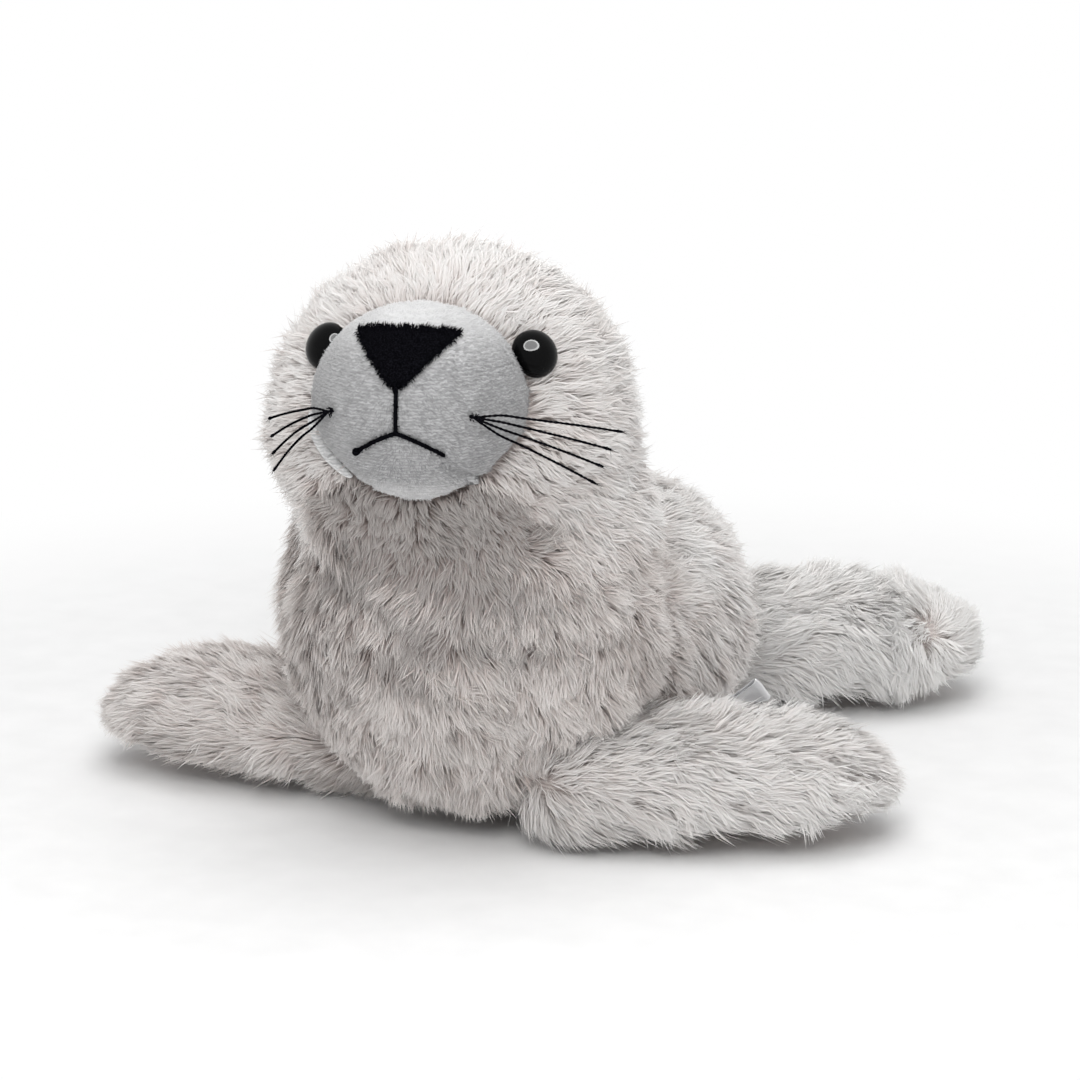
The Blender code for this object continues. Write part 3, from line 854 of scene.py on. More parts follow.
def flipper_coat(node):
    """How a flipper's pile is combed: from its root to its tip, and out and down at its edges."""
    root, tip, half = flipper_line(node)
    root, tip = np.array(root), np.array(tip)
    forward = unit(tip - root)
    across = np.cross([0, 0, 1.0], forward)
    length_of = np.linalg.norm(tip - root)

    def coat(points, normals):
        off = points - root
        t = off @ forward / length_of
        s = off @ across / half
        way = forward + across * (0.75 * s)[:, None] * (0.1 + 0.9 * t)[:, None]
        way = way - np.array([0, 0, 1.0]) * (0.55 * step(-normals[:, 2], -0.6, 0.2))[:, None]
        way = way + 0.38 * smooth_noise(points, 34 * MM, 21)
        way = way + 0.2 * smooth_noise(points, 15 * MM, 22)
        if node == "left_rear_flipper":
            whorl = tip - forward * 25 * MM - across * 17 * MM + np.array([0, 0, 4 * MM])
            out = points - whorl
            near = np.exp(-((np.linalg.norm(out, axis=1) / (22 * MM)) ** 2))[:, None]
            way = way * (1 - near) + (unit(out) + 0.9 * np.cross(normals, unit(out))) * near * 1.3
        way = along_skin(way, normals)
        length = FLIPPER_PILE * MM * (1 - 0.22 * step(t, 0.6, 1.0))
        lift = 0.40 + 0.12 * smooth_noise(points, 13 * MM, 23)[:, 0]
        if node == "left_rear_flipper":
            lift = lift + 0.12 * near[:, 0]
        # Partly the pile's own tone, partly painted light and shade for this flipper; paler towards
        # its tip.
        pale = FLIPPERS[node][5] + 0.15 * t + 0.06 * smooth_noise(points, 30 * MM, 24)[:, 0]
        return way, length, lift, pale

    return coat


# Settings


def chosen_colour(name, description, default):
    return bpy.props.FloatVectorProperty(
        name=name, description=description, default=default, subtype="COLOR", size=3, min=0, max=1
    )


def chosen_count(name, description, default):
    return bpy.props.IntProperty(
        name=name, description=description, default=default, min=1000, max=99000
    )


def chosen_size(name, description, default, least, most):
    return bpy.props.FloatProperty(
        name=name, description=description, default=default, min=least, max=most
    )


class PlushSealSettings(bpy.types.PropertyGroup):
    grey_tip: chosen_colour(
        "Torso tips", "Colour of the torso's hair tips", (0.805, 0.765, 0.74)
    )
    white_tip: chosen_colour(
        "Head tips", "Colour of the head's hair tips", (0.865, 0.86, 0.85)
    )
    # Root colours darker than the tips are partly painted shade between the tufts.
    grey_root: chosen_colour(
        "Torso roots", "Colour of the torso's pile at its roots", (0.44, 0.35, 0.32)
    )
    white_root: chosen_colour(
        "Head roots", "Colour of the head's pile at its roots", (0.88, 0.85, 0.83)
    )
    backing_dark: chosen_colour(
        "Backing dark", "Darkest part of the knitted backing", (0.34, 0.285, 0.265)
    )
    backing_light: chosen_colour(
        "Backing light", "Palest part of the knitted backing", (0.55, 0.49, 0.465)
    )
    velour_dark: chosen_colour(
        "Velour dark", "Darkest flecks of the muzzle", (0.385, 0.385, 0.39)
    )
    velour_light: chosen_colour(
        "Velour light", "Palest flecks of the muzzle", (0.90, 0.90, 0.90)
    )
    thread_colour: chosen_colour(
        "Thread", "Black thread of nose, mouth and whiskers", (0.002, 0.002, 0.0027)
    )
    eye_colour: chosen_colour(
        "Eyes", "Colour of the eyes' plastic", (0.002, 0.002, 0.0022)
    )
    washer_colour: chosen_colour(
        "Washers", "Colour of the eyes' washers", (0.75, 0.75, 0.74)
    )
    label_colour: chosen_colour(
        "Label", "Colour of the bare label tape", (0.82, 0.82, 0.84)
    )
    head_hairs: chosen_count("Head hairs", "Number of hairs on the head", 76000)
    chest_hairs: chosen_count("Chest hairs", "Number of hairs on the chest", 84000)
    back_hairs: chosen_count("Back hairs", "Number of hairs on back and rump", 80000)
    flipper_hairs: chosen_count("Flipper hairs", "Number of hairs on one flipper", 38000)
    velour_hairs: chosen_count("Velour hairs", "Number of short hairs on the muzzle", 22000)
    hair_width: chosen_size("Hair width", "Width of a lock of hair in millimetres", 0.44, 0.2, 2)
    tuft_size: chosen_size("Tuft size", "Distance between tufts in millimetres", 2.8, 1, 12)
    pile_sink: bpy.props.FloatProperty(
        name="Pile depth", description="How far the cloth lies under the laid pile",
        default=0.0018, min=0, max=0.01, subtype="DISTANCE", unit="LENGTH",
    )


def settings():
    return bpy.context.scene.plush_seal


# Operators


class SEAL_OT_stage(bpy.types.Operator):
    """Adds the floor, the lamps, the pale surroundings and the camera"""

    bl_idname = "plush_seal.stage"
    bl_label = "Studio"

    def execute(self, context):
        scene = context.scene
        scene.view_settings.view_transform = "Standard"
        deselect()
        bpy.ops.mesh.primitive_plane_add(size=8, location=(0, 0, 0))
        floor = bpy.context.active_object
        floor.name = "studio_floor"
        dress(floor, floor_material())
        scene.world = bpy.data.worlds.new("studio")
        made = Nodes(scene.world)
        strength = made.between(made.seen_rays(), to_min=0.59, to_max=1.0)
        back = made.tree.nodes["Background"]
        made.link(strength, back.inputs["Strength"])
        back.inputs["Color"].default_value = (1, 1, 1, 1)
        for name, build in SOFTBOXES.items():
            self.lamp(name, *build).visible_glossy = False
        dish = self.lamp("eye_dish", *EYE_DISH)
        dish.visible_diffuse = False
        dish.data.size_y = EYE_DISH_HEIGHT
        self.bright_rim(dish.data)
        self.camera(scene)
        return {"FINISHED"}

    def bright_rim(self, lamp):
        """The dish shows in the eyes as a grey disc with a bright rim."""
        made = Nodes(lamp)
        place = made.add("ShaderNodeNewGeometry")
        middle = made.add("ShaderNodeVectorMath", operation="DISTANCE")
        middle.inputs[1].default_value = (0.5, 0.5, 0)
        made.link(place.outputs["Parametric"], middle.inputs[0])
        rim = made.between(
            middle.outputs["Value"], from_min=0.36, from_max=0.42, to_min=0.6, to_max=1.6
        )
        made.link(rim, made.tree.nodes["Emission"].inputs["Strength"])

    def lamp(self, name, shape, size, power, place):
        lamp = bpy.data.lights.new(name, "AREA")
        lamp.shape = shape
        lamp.size = size
        lamp.energy = power
        obj = bpy.data.objects.new(name, lamp)
        obj.location = place
        obj.rotation_mode = "QUATERNION"
        obj.rotation_quaternion = (LAMP_AIM - place).to_track_quat("-Z", "Y")
        bpy.context.scene.collection.objects.link(obj)
        return obj

    def camera(self, scene):
        turn, level = CAMERA_AZIMUTH, math.cos(CAMERA_ELEVATION)
        height = math.sin(CAMERA_ELEVATION)
        back = Vector((math.sin(turn) * level, -math.cos(turn) * level, height))
        data = bpy.data.cameras.new("camera")
        data.sensor_width = 36
        data.lens = CAMERA_LENS
        camera = bpy.data.objects.new("camera", data)
        camera.rotation_mode = "QUATERNION"
        camera.location = CAMERA_TARGET + back * CAMERA_DISTANCE
        camera.rotation_quaternion = (-back).to_track_quat("-Z", "Y")
        scene.collection.objects.link(camera)
        scene.camera = camera


class SEAL_OT_skins(bpy.types.Operator):
    """Makes the stuffed skins of the body and the four flippers"""

    bl_idname = "plush_seal.skins"
    bl_label = "Stuffed skins"

    def execute(self, context):
        chosen = settings()
        dark, light = tuple(chosen.backing_dark), tuple(chosen.backing_light)
        cloth = backing_material("fur_backing", dark, light)
        for node in ("body", *FLIPPERS):
            skin = stuffed_skin(f"padded_{node}", node, chosen.pile_sink, SKIN_CELL, SKIN_FILL)
            dress(skin, cloth)
            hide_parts(node)
            fixed_on_seal(skin)
        return {"FINISHED"}


class SEAL_OT_muzzle(bpy.types.Operator):
    """Makes the stuffed velour muzzle, its seam band and its short pile"""

    bl_idname = "plush_seal.muzzle"
    bl_label = "Muzzle"

    def execute(self, context):
        chosen = settings()
        dark, light = tuple(chosen.velour_dark), tuple(chosen.velour_light)
        velour = velour_material("short_pile_velour", dark, light)
        skin = stuffed_skin("padded_muzzle", "muzzle", 0.3 * MM, MUZZLE_CELL, MUZZLE_FILL)
        dress(skin, velour)
        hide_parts("muzzle")
        fixed_on_seal(skin)
        self.narrow_chin(skin)
        self.crease(skin)
        self.short_pile(skin)
        hem = self.hem()
        dress(hem, velour_material("hem_velour", toned(light, 0.7), light))
        fixed_on_seal(hem)
        return {"FINISHED"}

    def narrow_chin(self, skin):
        """Draws the lower half of the dome in towards the chin."""
        into = HEAD.inverted()
        for vert in skin.data.vertices:
            own = into @ vert.co
            own.x *= chin_share(own.z)
            vert.co = HEAD @ own

    def crease(self, skin):
        """Presses a short fold into the cloth beside the chin."""
        into = HEAD.inverted()
        fold = CREASE_END - CREASE_START
        for vert in skin.data.vertices:
            own = into @ vert.co
            if own.y > -45 * MM:
                continue
            here = Vector((own.x, own.z))
            share = (here - CREASE_START).dot(fold) / fold.length_squared
            share = max(0.0, min(1.0, share))
            far = (here - CREASE_START.lerp(CREASE_END, share)).length
            vert.co -= vert.normal * (CREASE_DEPTH * math.exp(-((far / CREASE_WIDTH) ** 2)))

    def hem(self):
        """Turned hem where the muzzle is sewn to the head, at the lower right of its face."""
        tree = search_tree(frame["nodes"]["body"])
        half = MUZZLE_HALF
        verts, faces = [], []
        rounds, sides = 60, 10
        for i in range(rounds + 1):
            turn = math.radians(HEM_START + HEM_SWEEP * i / rounds)
            ring = []
            for k in range(160):
                u = 0.6 + 1.3 * k / 160
                across = half.x * math.sin(u) * math.cos(turn)
                up = half.z * math.sin(u) * math.sin(turn)
                own = Vector((across, -MUZZLE_BASE - half.y * math.cos(u), up))
                own.x *= chin_share(own.z)
                ring.append(HEAD @ own)
                near, out, _, _ = tree.find_nearest(ring[-1])
                if (ring[-1] - near).dot(out) < 0:
                    break
            rim = ring[-1]
            down = (ring[-1] - ring[-6]).normalized()
            centre = HEAD @ Vector((0, -MUZZLE_BASE, 0))
            out = (rim - centre).normalized()
            out = (out - down * out.dot(down)).normalized()
            broad = math.sin(math.pi * i / rounds) ** 0.5
            wide = (0.4 + 1.5 * broad) * MM
            thick = (0.25 + 0.15 * broad) * MM
            middle = rim - down * 1.6 * MM + out * 0.7 * broad * MM
            for k in range(sides):
                angle = 2 * math.pi * k / sides
                verts.append(middle + down * thick * math.cos(angle) + out * wide * math.sin(angle))
        for i in range(rounds):
            for k in range(sides):
                a, b = i * sides + k, i * sides + (k + 1) % sides
                faces.append((a, b, b + sides, a + sides))
        faces.append(tuple(reversed(range(sides))))
        faces.append(tuple(rounds * sides + k for k in range(sides)))
        return mesh_object("muzzle_hem", verts, faces)

    def short_pile(self, skin):
        """Fine short hairs that run out from the nose."""
        surface = Surface(skin)
        nose = np.array(muzzle_point(0, NOSE_TOP - NOSE_HEIGHT * 0.5)[0])

        def weight(points, facing):
            return step(-in_head(points)[:, 1], 30 * MM, 36 * MM)

        def coat(points, normals):
            own = in_head(points)
            sideways = (points - nose) * np.array([1, 1, 0.3])
            way = along_skin(sideways + 0.003 * smooth_noise(points, 12 * MM, 31), normals)
            # Paler towards the top: partly the velour's own colour, partly painted light from
            # above.
            top = step(own[:, 2], 8 * MM, 27 * MM)
            rim = step(-own[:, 2], 23 * MM, 28 * MM)
            wobble = smooth_noise(points, 7 * MM, 33)
            up = own[:, 2] + wobble[:, 0] * 0.5 * MM
            across = own[:, 0] + wobble[:, 1] * 1.2 * MM
            rows = np.sin(2 * math.pi * up / (1.5 * MM))
            rows = rows * (0.6 + 0.4 * np.sin(2 * math.pi * across / (2.6 * MM)))
            # Paler on the side towards -x: painted light from that side.
            left = step(-own[:, 0], 2 * MM, 26 * MM)
            pale = 0.09 + 0.66 * top + 0.45 * rim + 0.22 * left * (1 - top)
            pale = pale + 0.05 * smooth_noise(points, 9 * MM, 32)[:, 0]
            pale = pale + 0.15 * rows * (1 - 0.6 * top)
            length = np.full(len(points), VELOUR_PILE * MM)
            return way, length, np.full(len(points), 0.34), pale

        chosen = settings()
        pile = grow(
            "velour_pile", surface, chosen.velour_hairs, 1.0, coat, weight, 41, 0.24, pull=0.05,
            stray=0.02, wild=0.1, mottle=0.01, tone=0.02, crisp=0.0,
        )
        dark, light = tuple(chosen.velour_dark), tuple(chosen.velour_light)
        roots = toned(dark, 0.9), toned(light, 0.95)
        # The last value is the painted shade's share at the lowest paleness.
        dress(pile, pile_material("velour_hairs", *roots, dark, light, 0.84))
        fixed_on_seal(pile)


class SEAL_OT_eyes(bpy.types.Operator):
    """Makes the two domed eyes and finishes their washers"""

    bl_idname = "plush_seal.eyes"
    bl_label = "Eyes"

    def execute(self, context):
        plastic = eye_material("black_eye_plastic", tuple(settings().eye_colour))
        washer = washer_material("white_washer_plastic", tuple(settings().washer_colour))
        for side_name in ("left", "right"):
            eye = self.eye(side_name)
            dress(eye, plastic)
            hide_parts(f"{side_name}_eye")
            fixed_on_seal(eye)
            dress(frame["nodes"][f"{side_name}_eye_washer"], washer)
        return {"FINISHED"}

    def eye(self, side_name):
        """A dome with a rolled rim over a flat back, with a ribbed shank under it."""
        seat = -EYE_SEAT
        profile = []
        for k in range(15):
            angle = math.pi / 2 * k / 14
            height = seat + EYE_RIM + EYE_DOME * math.cos(angle)
            profile.append((EYE_RADIUS * math.sin(angle), height))
        profile += [
            (EYE_RADIUS, seat + 0.35 * MM),
            (EYE_RADIUS - 0.12 * MM, seat + 0.1 * MM),
            (EYE_RADIUS - 0.4 * MM, seat),
            (SHANK_RADIUS + 0.3 * MM, seat),
            (SHANK_RADIUS, seat - 0.3 * MM),
        ]
        depth = seat - 1.2 * MM
        groove = SHANK_RADIUS - 0.25 * MM
        while depth > -SHANK_LENGTH + 1.6 * MM:
            profile += [(SHANK_RADIUS, depth), (groove, depth - 0.2 * MM)]
            profile += [(groove, depth - 0.7 * MM), (SHANK_RADIUS, depth - 0.9 * MM)]
            depth -= 1.4 * MM
        profile += [(SHANK_RADIUS - 0.5 * MM, -SHANK_LENGTH), (0, -SHANK_LENGTH)]
        verts = [(radius, 0, height) for radius, height in profile]
        obj = mesh_object(f"{side_name}_glossy_eye", verts, [])
        obj.data.edges.add(len(verts) - 1)
        for k, edge in enumerate(obj.data.edges):
            edge.vertices = (k, k + 1)
        activate(obj)
        bpy.ops.object.mode_set(mode="EDIT")
        bpy.ops.mesh.select_all(action="SELECT")
        bpy.ops.mesh.spin(steps=56, angle=2 * math.pi, center=(0, 0, 0), axis=(0, 0, 1))
        bpy.ops.mesh.select_all(action="SELECT")
        bpy.ops.mesh.remove_doubles(threshold=0.002 * MM)
        bpy.ops.mesh.normals_make_consistent(inside=False)
        bpy.ops.object.mode_set(mode="OBJECT")
        obj.data.transform(eye_frame(side_name))
        bpy.ops.object.shade_smooth_by_angle(angle=math.radians(35))
        return obj


class SEAL_OT_nose(bpy.types.Operator):
    """Makes the black nose of short stitched pile and the stitched mouth"""

    bl_idname = "plush_seal.nose"
    bl_label = "Nose and mouth"

    def execute(self, context):
        colour = tuple(settings().thread_colour)
        # The paler strand colour is a painted sheen.
        thread = thread_material("black_thread", colour, toned(colour, 3.8))
        self.dome = Dome()
        nose = self.nose()
        dress(nose, thread)
        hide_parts("nose_embroidery")
        fixed_on_seal(nose)
        mouth = self.mouth()
        dress(mouth, thread)
        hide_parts("mouth_stitching")
        fixed_on_seal(mouth)
        return {"FINISHED"}

    def edge(self, down, share):
        """Across and up of a point of the nose, with its corners a little round."""
        from_middle = 2 * share - 1
        spread = (1 - down) ** 0.9 + 0.05
        dip = 1.2 * MM * (1 - from_middle**2) * (1 - down)
        corner = 2 * MM * from_middle**4 * (1 - down)
        return from_middle * NOSE_WIDTH / 2 * spread, NOSE_TOP - dip - corner - NOSE_HEIGHT * down

    def nose(self):
        """Many short satin stitches laid side by side, with uneven ends that fray at the edge."""
        rng = np.random.default_rng(71)
        verts, faces = [], []
        rows, columns = 26, 46
        for i in range(rows + 1):
            for j in range(columns + 1):
                across, up = self.edge(i / rows, j / columns)
                rim = min(i, rows - i, j, columns - j) / 3
                swell = min(1.0, rim) * 0.75 * MM
                verts.append(self.dome(across, up, 0.55 * MM + swell))
        for i in range(rows):
            for j in range(columns):
                a = i * (columns + 1) + j
                faces.append((a, a + columns + 1, a + columns + 2, a + 1))
        for _ in range(NOSE_STITCHES):
            down, share = rng.random() ** 0.6, rng.random()
            down = 1 - down
            across, up = self.edge(down, share)
            length = rng.uniform(1.0, 2.2) * MM
            way = Vector((rng.normal(0, 0.22) + (share - 0.5) * 0.5, rng.normal(0.2, 0.8)))
            way.normalize()
            end = Vector((across, up)) + way * length
            width = rng.uniform(0.1, 0.17) * MM
            side = Vector((-way.y, way.x)) * width
            lift = rng.uniform(0.9, 1.45) * MM
            low = 0.7 * MM
            first = len(verts)
            verts.append(self.dome(across - side.x, up - side.y, low))
            verts.append(self.dome(across + side.x, up + side.y, low))
            middle = Vector((across, up)).lerp(end, 0.5)
            verts.append(self.dome(middle.x + side.x, middle.y + side.y, lift))
            verts.append(self.dome(middle.x - side.x, middle.y - side.y, lift))
            verts.append(self.dome(end.x, end.y, lift * 0.9))
            faces.append((first, first + 1, first + 2, first + 3))
            faces.append((first + 3, first + 2, first + 4))
        return mesh_object("nose_stitches", verts, faces)

    def mouth(self):
        """Chain of twisted loops along three lines, with a knot at one end and loose fluff."""
        rng = np.random.default_rng(73)
        fork = NOSE_TOP - NOSE_HEIGHT - MOUTH_DROP
        top = Vector((0.0, NOSE_TOP - NOSE_HEIGHT + 0.6 * MM))
        left = Vector((-MOUTH_BRANCH, fork - MOUTH_SAG))
        right = Vector((MOUTH_BRANCH, fork - MOUTH_SAG))
        centre = Vector((0.0, fork))
        paths = ((top, centre), (centre, left), (centre, right))
        verts, faces = [], []
        for start, end in paths:
            line = []
            steps = 44
            for k in range(steps + 1):
                p = start.lerp(end, k / steps)
                bow = 0.35 * MM * math.sin(math.pi * k / steps)
                side = Vector((-(end - start).y, (end - start).x)).normalized()
                p = p + side * bow * (1 if end is right else -1 if end is left else 0.4)
                line.append(p)
            for strand in range(3):
                points = []
                for k, p in enumerate(line):
                    turn = 2 * math.pi * (k / 5.5 + strand / 3)
                    side = Vector((-(end - start).y, (end - start).x)).normalized()
                    off = p + side * (0.36 * math.cos(turn) + 0.1 * math.sin(1.7 * k + strand)) * MM
                    lift = 0.95 * MM + 0.42 * MM * math.sin(turn)
                    points.append(self.dome(off.x, off.y, lift))
                tube(verts, faces, points, MOUTH_STRAND, 6)
            for _ in range(150):
                p = line[rng.integers(0, len(line))]
                way = Vector((rng.normal(), rng.normal())).normalized()
                e = p + way * rng.uniform(0.7, 1.35) * MM
                loose = self.dome(e.x, e.y, rng.uniform(0.6, 1.6) * MM)
                tube(verts, faces, [self.dome(p.x, p.y, 1.0 * MM), loose], 0.06 * MM, 3)
        ball(verts, faces, self.dome(left.x, left.y, 1.1 * MM), MOUTH_KNOT)
        return mesh_object("mouth_stitches", verts, faces)


def tube(verts, faces, points, radius, sides, end_radius=None):
    """Round thread along points, closed at both ends."""
    points = [Vector(p) for p in points]
    end_radius = radius if end_radius is None else end_radius
    first = len(verts)
    side = None
    for i, point in enumerate(points):
        before = points[max(i - 1, 0)]
        after = points[min(i + 1, len(points) - 1)]
        forward = (after - before).normalized()
        if side is None:
            side = forward.orthogonal().normalized()
        side = (side - forward * side.dot(forward)).normalized()
        other = forward.cross(side)
        here = radius + (end_radius - radius) * i / max(len(points) - 1, 1)
        for k in range(sides):
            angle = 2 * math.pi * k / sides
            rim = point + side * (here * math.cos(angle))
            verts.append(rim + other * (here * math.sin(angle)))
    for i in range(len(points) - 1):
        for k in range(sides):
            a = first + i * sides + k
            b = first + i * sides + (k + 1) % sides
            faces.append((a, b, b + sides, a + sides))
    faces.append(tuple(first + k for k in reversed(range(sides))))
    last = first + (len(points) - 1) * sides
    faces.append(tuple(last + k for k in range(sides)))


def ball(verts, faces, centre, radius):
    """Small lumpy knot."""
    bm = bmesh.new()
    bmesh.ops.create_icosphere(bm, subdivisions=2, radius=radius)
    first = len(verts)
    for vert in bm.verts:
        lump = 1 + 0.12 * math.sin(9 * vert.co.x / radius) * math.cos(7 * vert.co.z / radius)
        verts.append(centre + vert.co * lump)
    for face in bm.faces:
        faces.append(tuple(first + v.index for v in face.verts))
    bm.free()


class SEAL_OT_whiskers(bpy.types.Operator):
    """Makes the four twisted whiskers on each side"""

    bl_idname = "plush_seal.whiskers"
    bl_label = "Whiskers"

    def execute(self, context):
        colour = tuple(settings().thread_colour)
        # The paler strand colour is a painted sheen.
        thread = thread_material("whisker_thread", colour, toned(colour, 5))
        for side_name in ("left", "right"):
            obj = self.bunch(side_name)
            dress(obj, thread)
            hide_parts(*(f"{side_name}_whisker_{n}" for n in range(1, 5)))
            fixed_on_seal(obj)
        return {"FINISHED"}

    def centre_line(self, node):
        """Middle of a CAD whisker at its stations, from root to tip."""
        corners = np.array([v.co[:] for v in frame["nodes"][node].data.vertices])
        root = np.array(HEAD @ Vector((0, -60 * MM, 0)))
        far = unit(corners.mean(axis=0) - root)
        reach = corners @ far
        order = np.argsort(reach)
        groups = np.array_split(order, 8)
        return [Vector(corners[g].mean(axis=0)) for g in groups]

    def bunch(self, side_name):
        rng = np.random.default_rng(81 if side_name == "left" else 82)
        side = 1 if side_name == "left" else -1
        half = MUZZLE_HALF
        across, up = side * WHISKER_ROOT.x * half.x, WHISKER_ROOT.z * half.z
        stitch, out = muzzle_point(across, up, 0.2 * MM)
        verts, faces = [], []
        for number in range(1, 5):
            line = self.centre_line(f"{side_name}_whisker_{number}")
            leave = stitch + out * 0.6 * MM
            line = [stitch - out * 1.2 * MM, leave] + line[1:]
            smooth = spline(line, round(60 / WHISKERS_KEPT[number - 1]))[:61]
            side_way = (smooth[-1] - smooth[0]).orthogonal().normalized()
            for strand in range(2):
                points = []
                for k, p in enumerate(smooth):
                    turn = 2 * math.pi * (k / 4.2) + math.pi * strand
                    forward = (smooth[min(k + 1, 60)] - smooth[max(k - 1, 0)]).normalized()
                    a = (side_way - forward * side_way.dot(forward)).normalized()
                    b = forward.cross(a)
                    off = (a * math.cos(turn) + b * math.sin(turn)) * 0.17 * MM
                    points.append(p + off)
                tube(verts, faces, points, WHISKER_STRAND, 5)
            end = smooth[-1]
            forward = (smooth[-1] - smooth[-4]).normalized()
            ball(verts, faces, end - forward * 1.4 * MM, WHISKER_KNOT)
            for _ in range(7):
                spread = Vector(rng.normal(size=3)) * 0.4
                tip = end + (forward + spread) * rng.uniform(0.8, 2.2) * MM
                tube(verts, faces, [end - forward * 0.4 * MM, tip], 0.07 * MM, 3, 0.03 * MM)
        for _ in range(10):
            a = stitch + Vector(rng.normal(size=3)) * 0.5 * MM
            b = a + (out * 0.8 + Vector(rng.normal(size=3)) * 0.6) * 0.9 * MM
            tube(verts, faces, [a, b], 0.2 * MM, 4)
        return mesh_object(f"{side_name}_whiskers", verts, faces)


def spline(points, steps):
    """Even points along a smooth curve through the given ones."""
    points = [points[0] * 2 - points[1]] + list(points) + [points[-1] * 2 - points[-2]]
    fine = []
    for i in range(1, len(points) - 2):
        a, b, c, d = points[i - 1 : i + 3]
        for k in range(12):
            t = k / 12
            curve = (2 * b) + (c - a) * t + (2 * a - 5 * b + 4 * c - d) * t**2
            fine.append(0.5 * (curve + (3 * b - a - 3 * c + d) * t**3))
    fine.append(points[-2])
    run = [0.0]
    for a, b in zip(fine, fine[1:]):
        run.append(run[-1] + (b - a).length)
    even = []
    j = 0
    for k in range(steps + 1):
        want = run[-1] * k / steps
        while j < len(run) - 2 and run[j + 1] < want:
            j += 1
        gap = max(run[j + 1] - run[j], 1e-9)
        even.append(fine[j].lerp(fine[j + 1], (want - run[j]) / gap))
    return even


class SEAL_OT_label(bpy.types.Operator):
    """Makes the bare folded label in the side seam"""

    bl_idname = "plush_seal.label"
    bl_label = "Label"

    def execute(self, context):
        tape = tape_material("label_tape", tuple(settings().label_colour))
        loop = self.loop()
        dress(loop, tape)
        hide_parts("sewn_label")
        fixed_on_seal(loop)
        return {"FINISHED"}

    def place(self):
        """Frame of the label: +X out of the seam, and the tape's width along Y."""
        corners = [v.co for v in frame["nodes"]["sewn_label"].data.vertices]
        way = LABEL_WAY.normalized()
        end = max(c.dot(way) for c in corners)
        far = [c for c in corners if c.dot(way) > end - 0.1 * MM]
        tip = sum(far, Vector()) / len(far)
        return Matrix.Translation(tip) @ way.to_track_quat("X", "Z").to_matrix().to_4x4()

    def loop(self):
        """A folded tape: two layers that spread a little toward the fold."""
        half = LABEL_WIDTH / 2
        profile = []
        for k in range(25):
            share = k / 24
            along = (-LABEL_LENGTH - LABEL_ROOT) * (1 - share) - LABEL_FOLD * share
            gap = 0.3 + 0.55 * share**2
            profile.append((along, gap * MM))
        for k in range(1, 8):
            angle = math.pi / 2 - math.pi * k / 8
            along = -LABEL_FOLD + LABEL_FOLD * math.cos(angle)
            profile.append((along, 0.85 * MM * math.sin(angle)))
        profile += [(x, -z) for x, z in reversed(profile[:25])]
        verts, faces = [], []
        columns = 16
        for x, z in profile:
            for j in range(columns + 1):
                y = half * (2 * j / columns - 1)
                wave = 0.35 * MM * math.sin(5 * j / columns + x / (6 * MM)) * (1 + x / LABEL_LENGTH)
                verts.append((x, y, z + wave))
        for i in range(len(profile) - 1):
            for j in range(columns):
                a = i * (columns + 1) + j
                faces.append((a, a + 1, a + columns + 2, a + columns + 1))
        obj = mesh_object("folded_label", verts, faces)
        cloth = obj.modifiers.new("tape", "SOLIDIFY")
        cloth.thickness = LABEL_THICKNESS
        apply_modifiers(obj)
        for vert in obj.data.vertices:
            share = max(0.0, min(1.0, 1 + vert.co.x / LABEL_LENGTH))
            turn = LABEL_CURL * share
            y, z = vert.co.y, vert.co.z
            vert.co.y = y * math.cos(turn) - z * math.sin(turn)
            vert.co.z = y * math.sin(turn) + z * math.cos(turn) + 6 * MM * share**1.5
        obj.data.transform(self.place())
        return obj


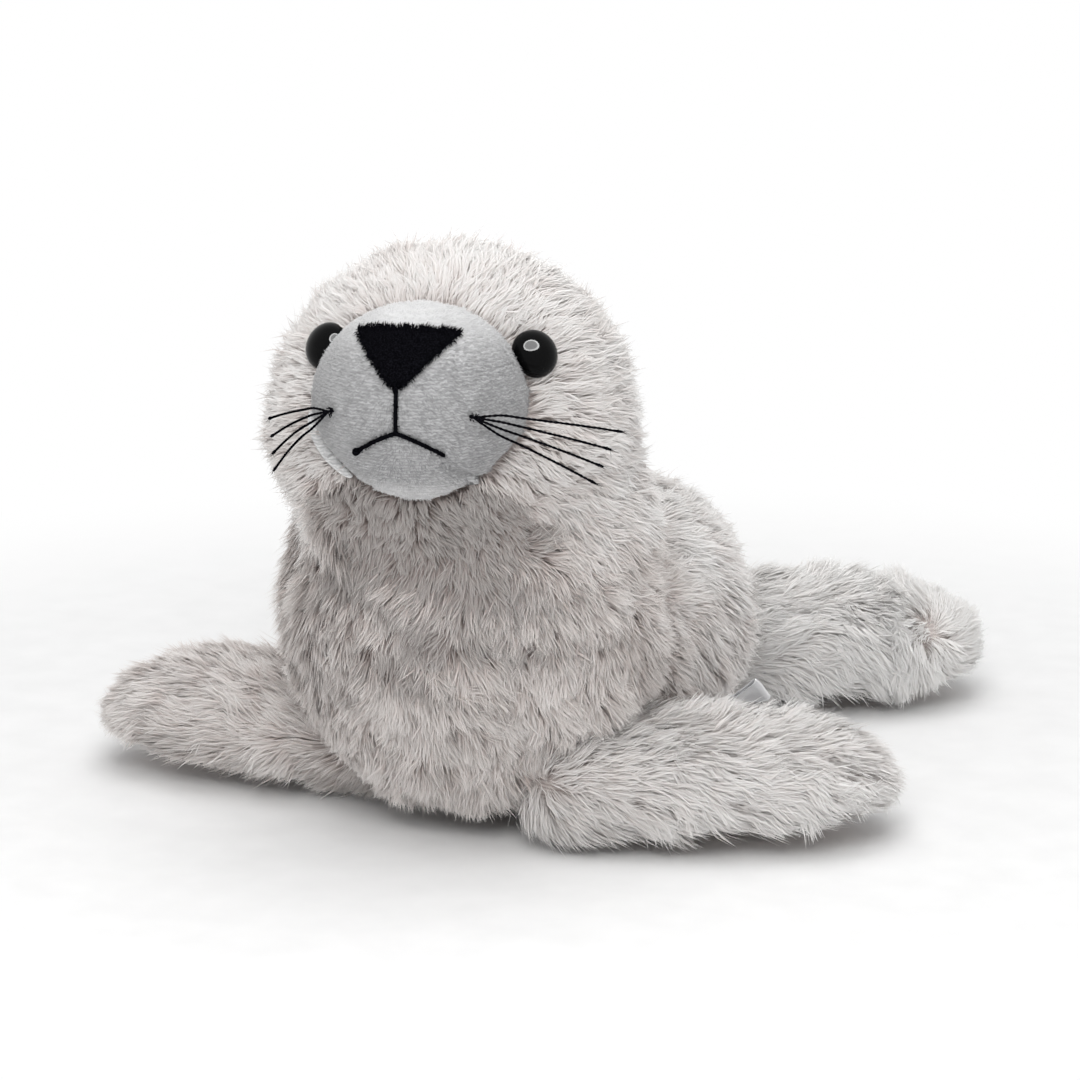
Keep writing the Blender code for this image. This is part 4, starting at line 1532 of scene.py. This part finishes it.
class SEAL_OT_fur(bpy.types.Operator):
    """Grows the brushed pile on head, chest, back and flippers"""

    bl_idname = "plush_seal.fur"
    bl_label = "Brushed pile"

    def execute(self, context):
        chosen = settings()
        tones = (chosen.grey_root, chosen.white_root, chosen.grey_tip, chosen.white_tip)
        coat = pile_material("long_pile_fur", *(tuple(tone) for tone in tones))
        body = bpy.data.objects["padded_body"]
        surface = Surface(body)

        def on_top(points, facing):
            low = step(facing[:, 2], -0.97, -0.75)
            probe = points + facing * 2 * MM
            clear = ~in_muzzle(probe)
            for node in FLIPPERS:
                clear &= ~in_flipper(probe, node)
            return low * clear * step(points[:, 2], 0.8 * MM, 2.5 * MM)

        def head(points, facing):
            return on_top(points, facing) * head_share(points)

        def front(points, facing):
            return 1 - step(points[:, 1], -52 * MM, -34 * MM)

        def chest(points, facing):
            return on_top(points, facing) * (1 - head_share(points)) * front(points, facing)

        def back(points, facing):
            return on_top(points, facing) * (1 - head_share(points)) * (1 - front(points, facing))

        wide, tuft = chosen.hair_width, chosen.tuft_size
        parts = (
            ("fur_head", surface, chosen.head_hairs, tuft, body_coat, head, 51),
            ("fur_chest", surface, chosen.chest_hairs, tuft, body_coat, chest, 52),
            ("fur_back", surface, chosen.back_hairs, tuft, body_coat, back, 53),
        )
        made = [grow(*part, wide) for part in parts]
        tree = search_tree(body)
        for number, node in enumerate(FLIPPERS):
            skin = Surface(bpy.data.objects[f"padded_{node}"])

            def upper(points, facing):
                low = step(facing[:, 2], -0.97, -0.75)
                clear = ~inside_of(tree, points + facing * 2.5 * MM)
                return low * clear * step(points[:, 2], 0.8 * MM, 2.5 * MM)

            name, comb, seed = f"fur_{node}", flipper_coat(node), 60 + number
            made.append(grow(name, skin, chosen.flipper_hairs, tuft, comb, upper, seed, wide))
        for pile in made:
            dress(pile, coat)
            fixed_on_seal(pile)
        return {"FINISHED"}


class SEAL_PT_panel(bpy.types.Panel):
    """Lists the pieces of the seal"""

    bl_idname = "SEAL_PT_panel"
    bl_label = "Plush Seal"
    bl_space_type = "VIEW_3D"
    bl_region_type = "UI"
    bl_category = "Plush Seal"

    def draw(self, context):
        layout = self.layout
        for operator in STEPS:
            layout.operator(operator.bl_idname)
        for name in PlushSealSettings.__annotations__:
            layout.prop(context.scene.plush_seal, name)


STEPS = (
    SEAL_OT_stage,
    SEAL_OT_skins,
    SEAL_OT_muzzle,
    SEAL_OT_eyes,
    SEAL_OT_nose,
    SEAL_OT_whiskers,
    SEAL_OT_label,
    SEAL_OT_fur,
)
CLASSES = (PlushSealSettings, *STEPS, SEAL_PT_panel)


def register():
    for cls in CLASSES:
        bpy.utils.register_class(cls)
    bpy.types.Scene.plush_seal = bpy.props.PointerProperty(type=PlushSealSettings)


def unregister():
    del bpy.types.Scene.plush_seal
    for cls in reversed(CLASSES):
        bpy.utils.unregister_class(cls)


def main():
    register()
    bpy.ops.plush_seal.stage()
    bpy.ops.plush_seal.skins()
    bpy.ops.plush_seal.muzzle()
    bpy.ops.plush_seal.eyes()
    bpy.ops.plush_seal.nose()
    bpy.ops.plush_seal.whiskers()
    bpy.ops.plush_seal.label()
    bpy.ops.plush_seal.fur()


if __name__ == "__main__":
    main()
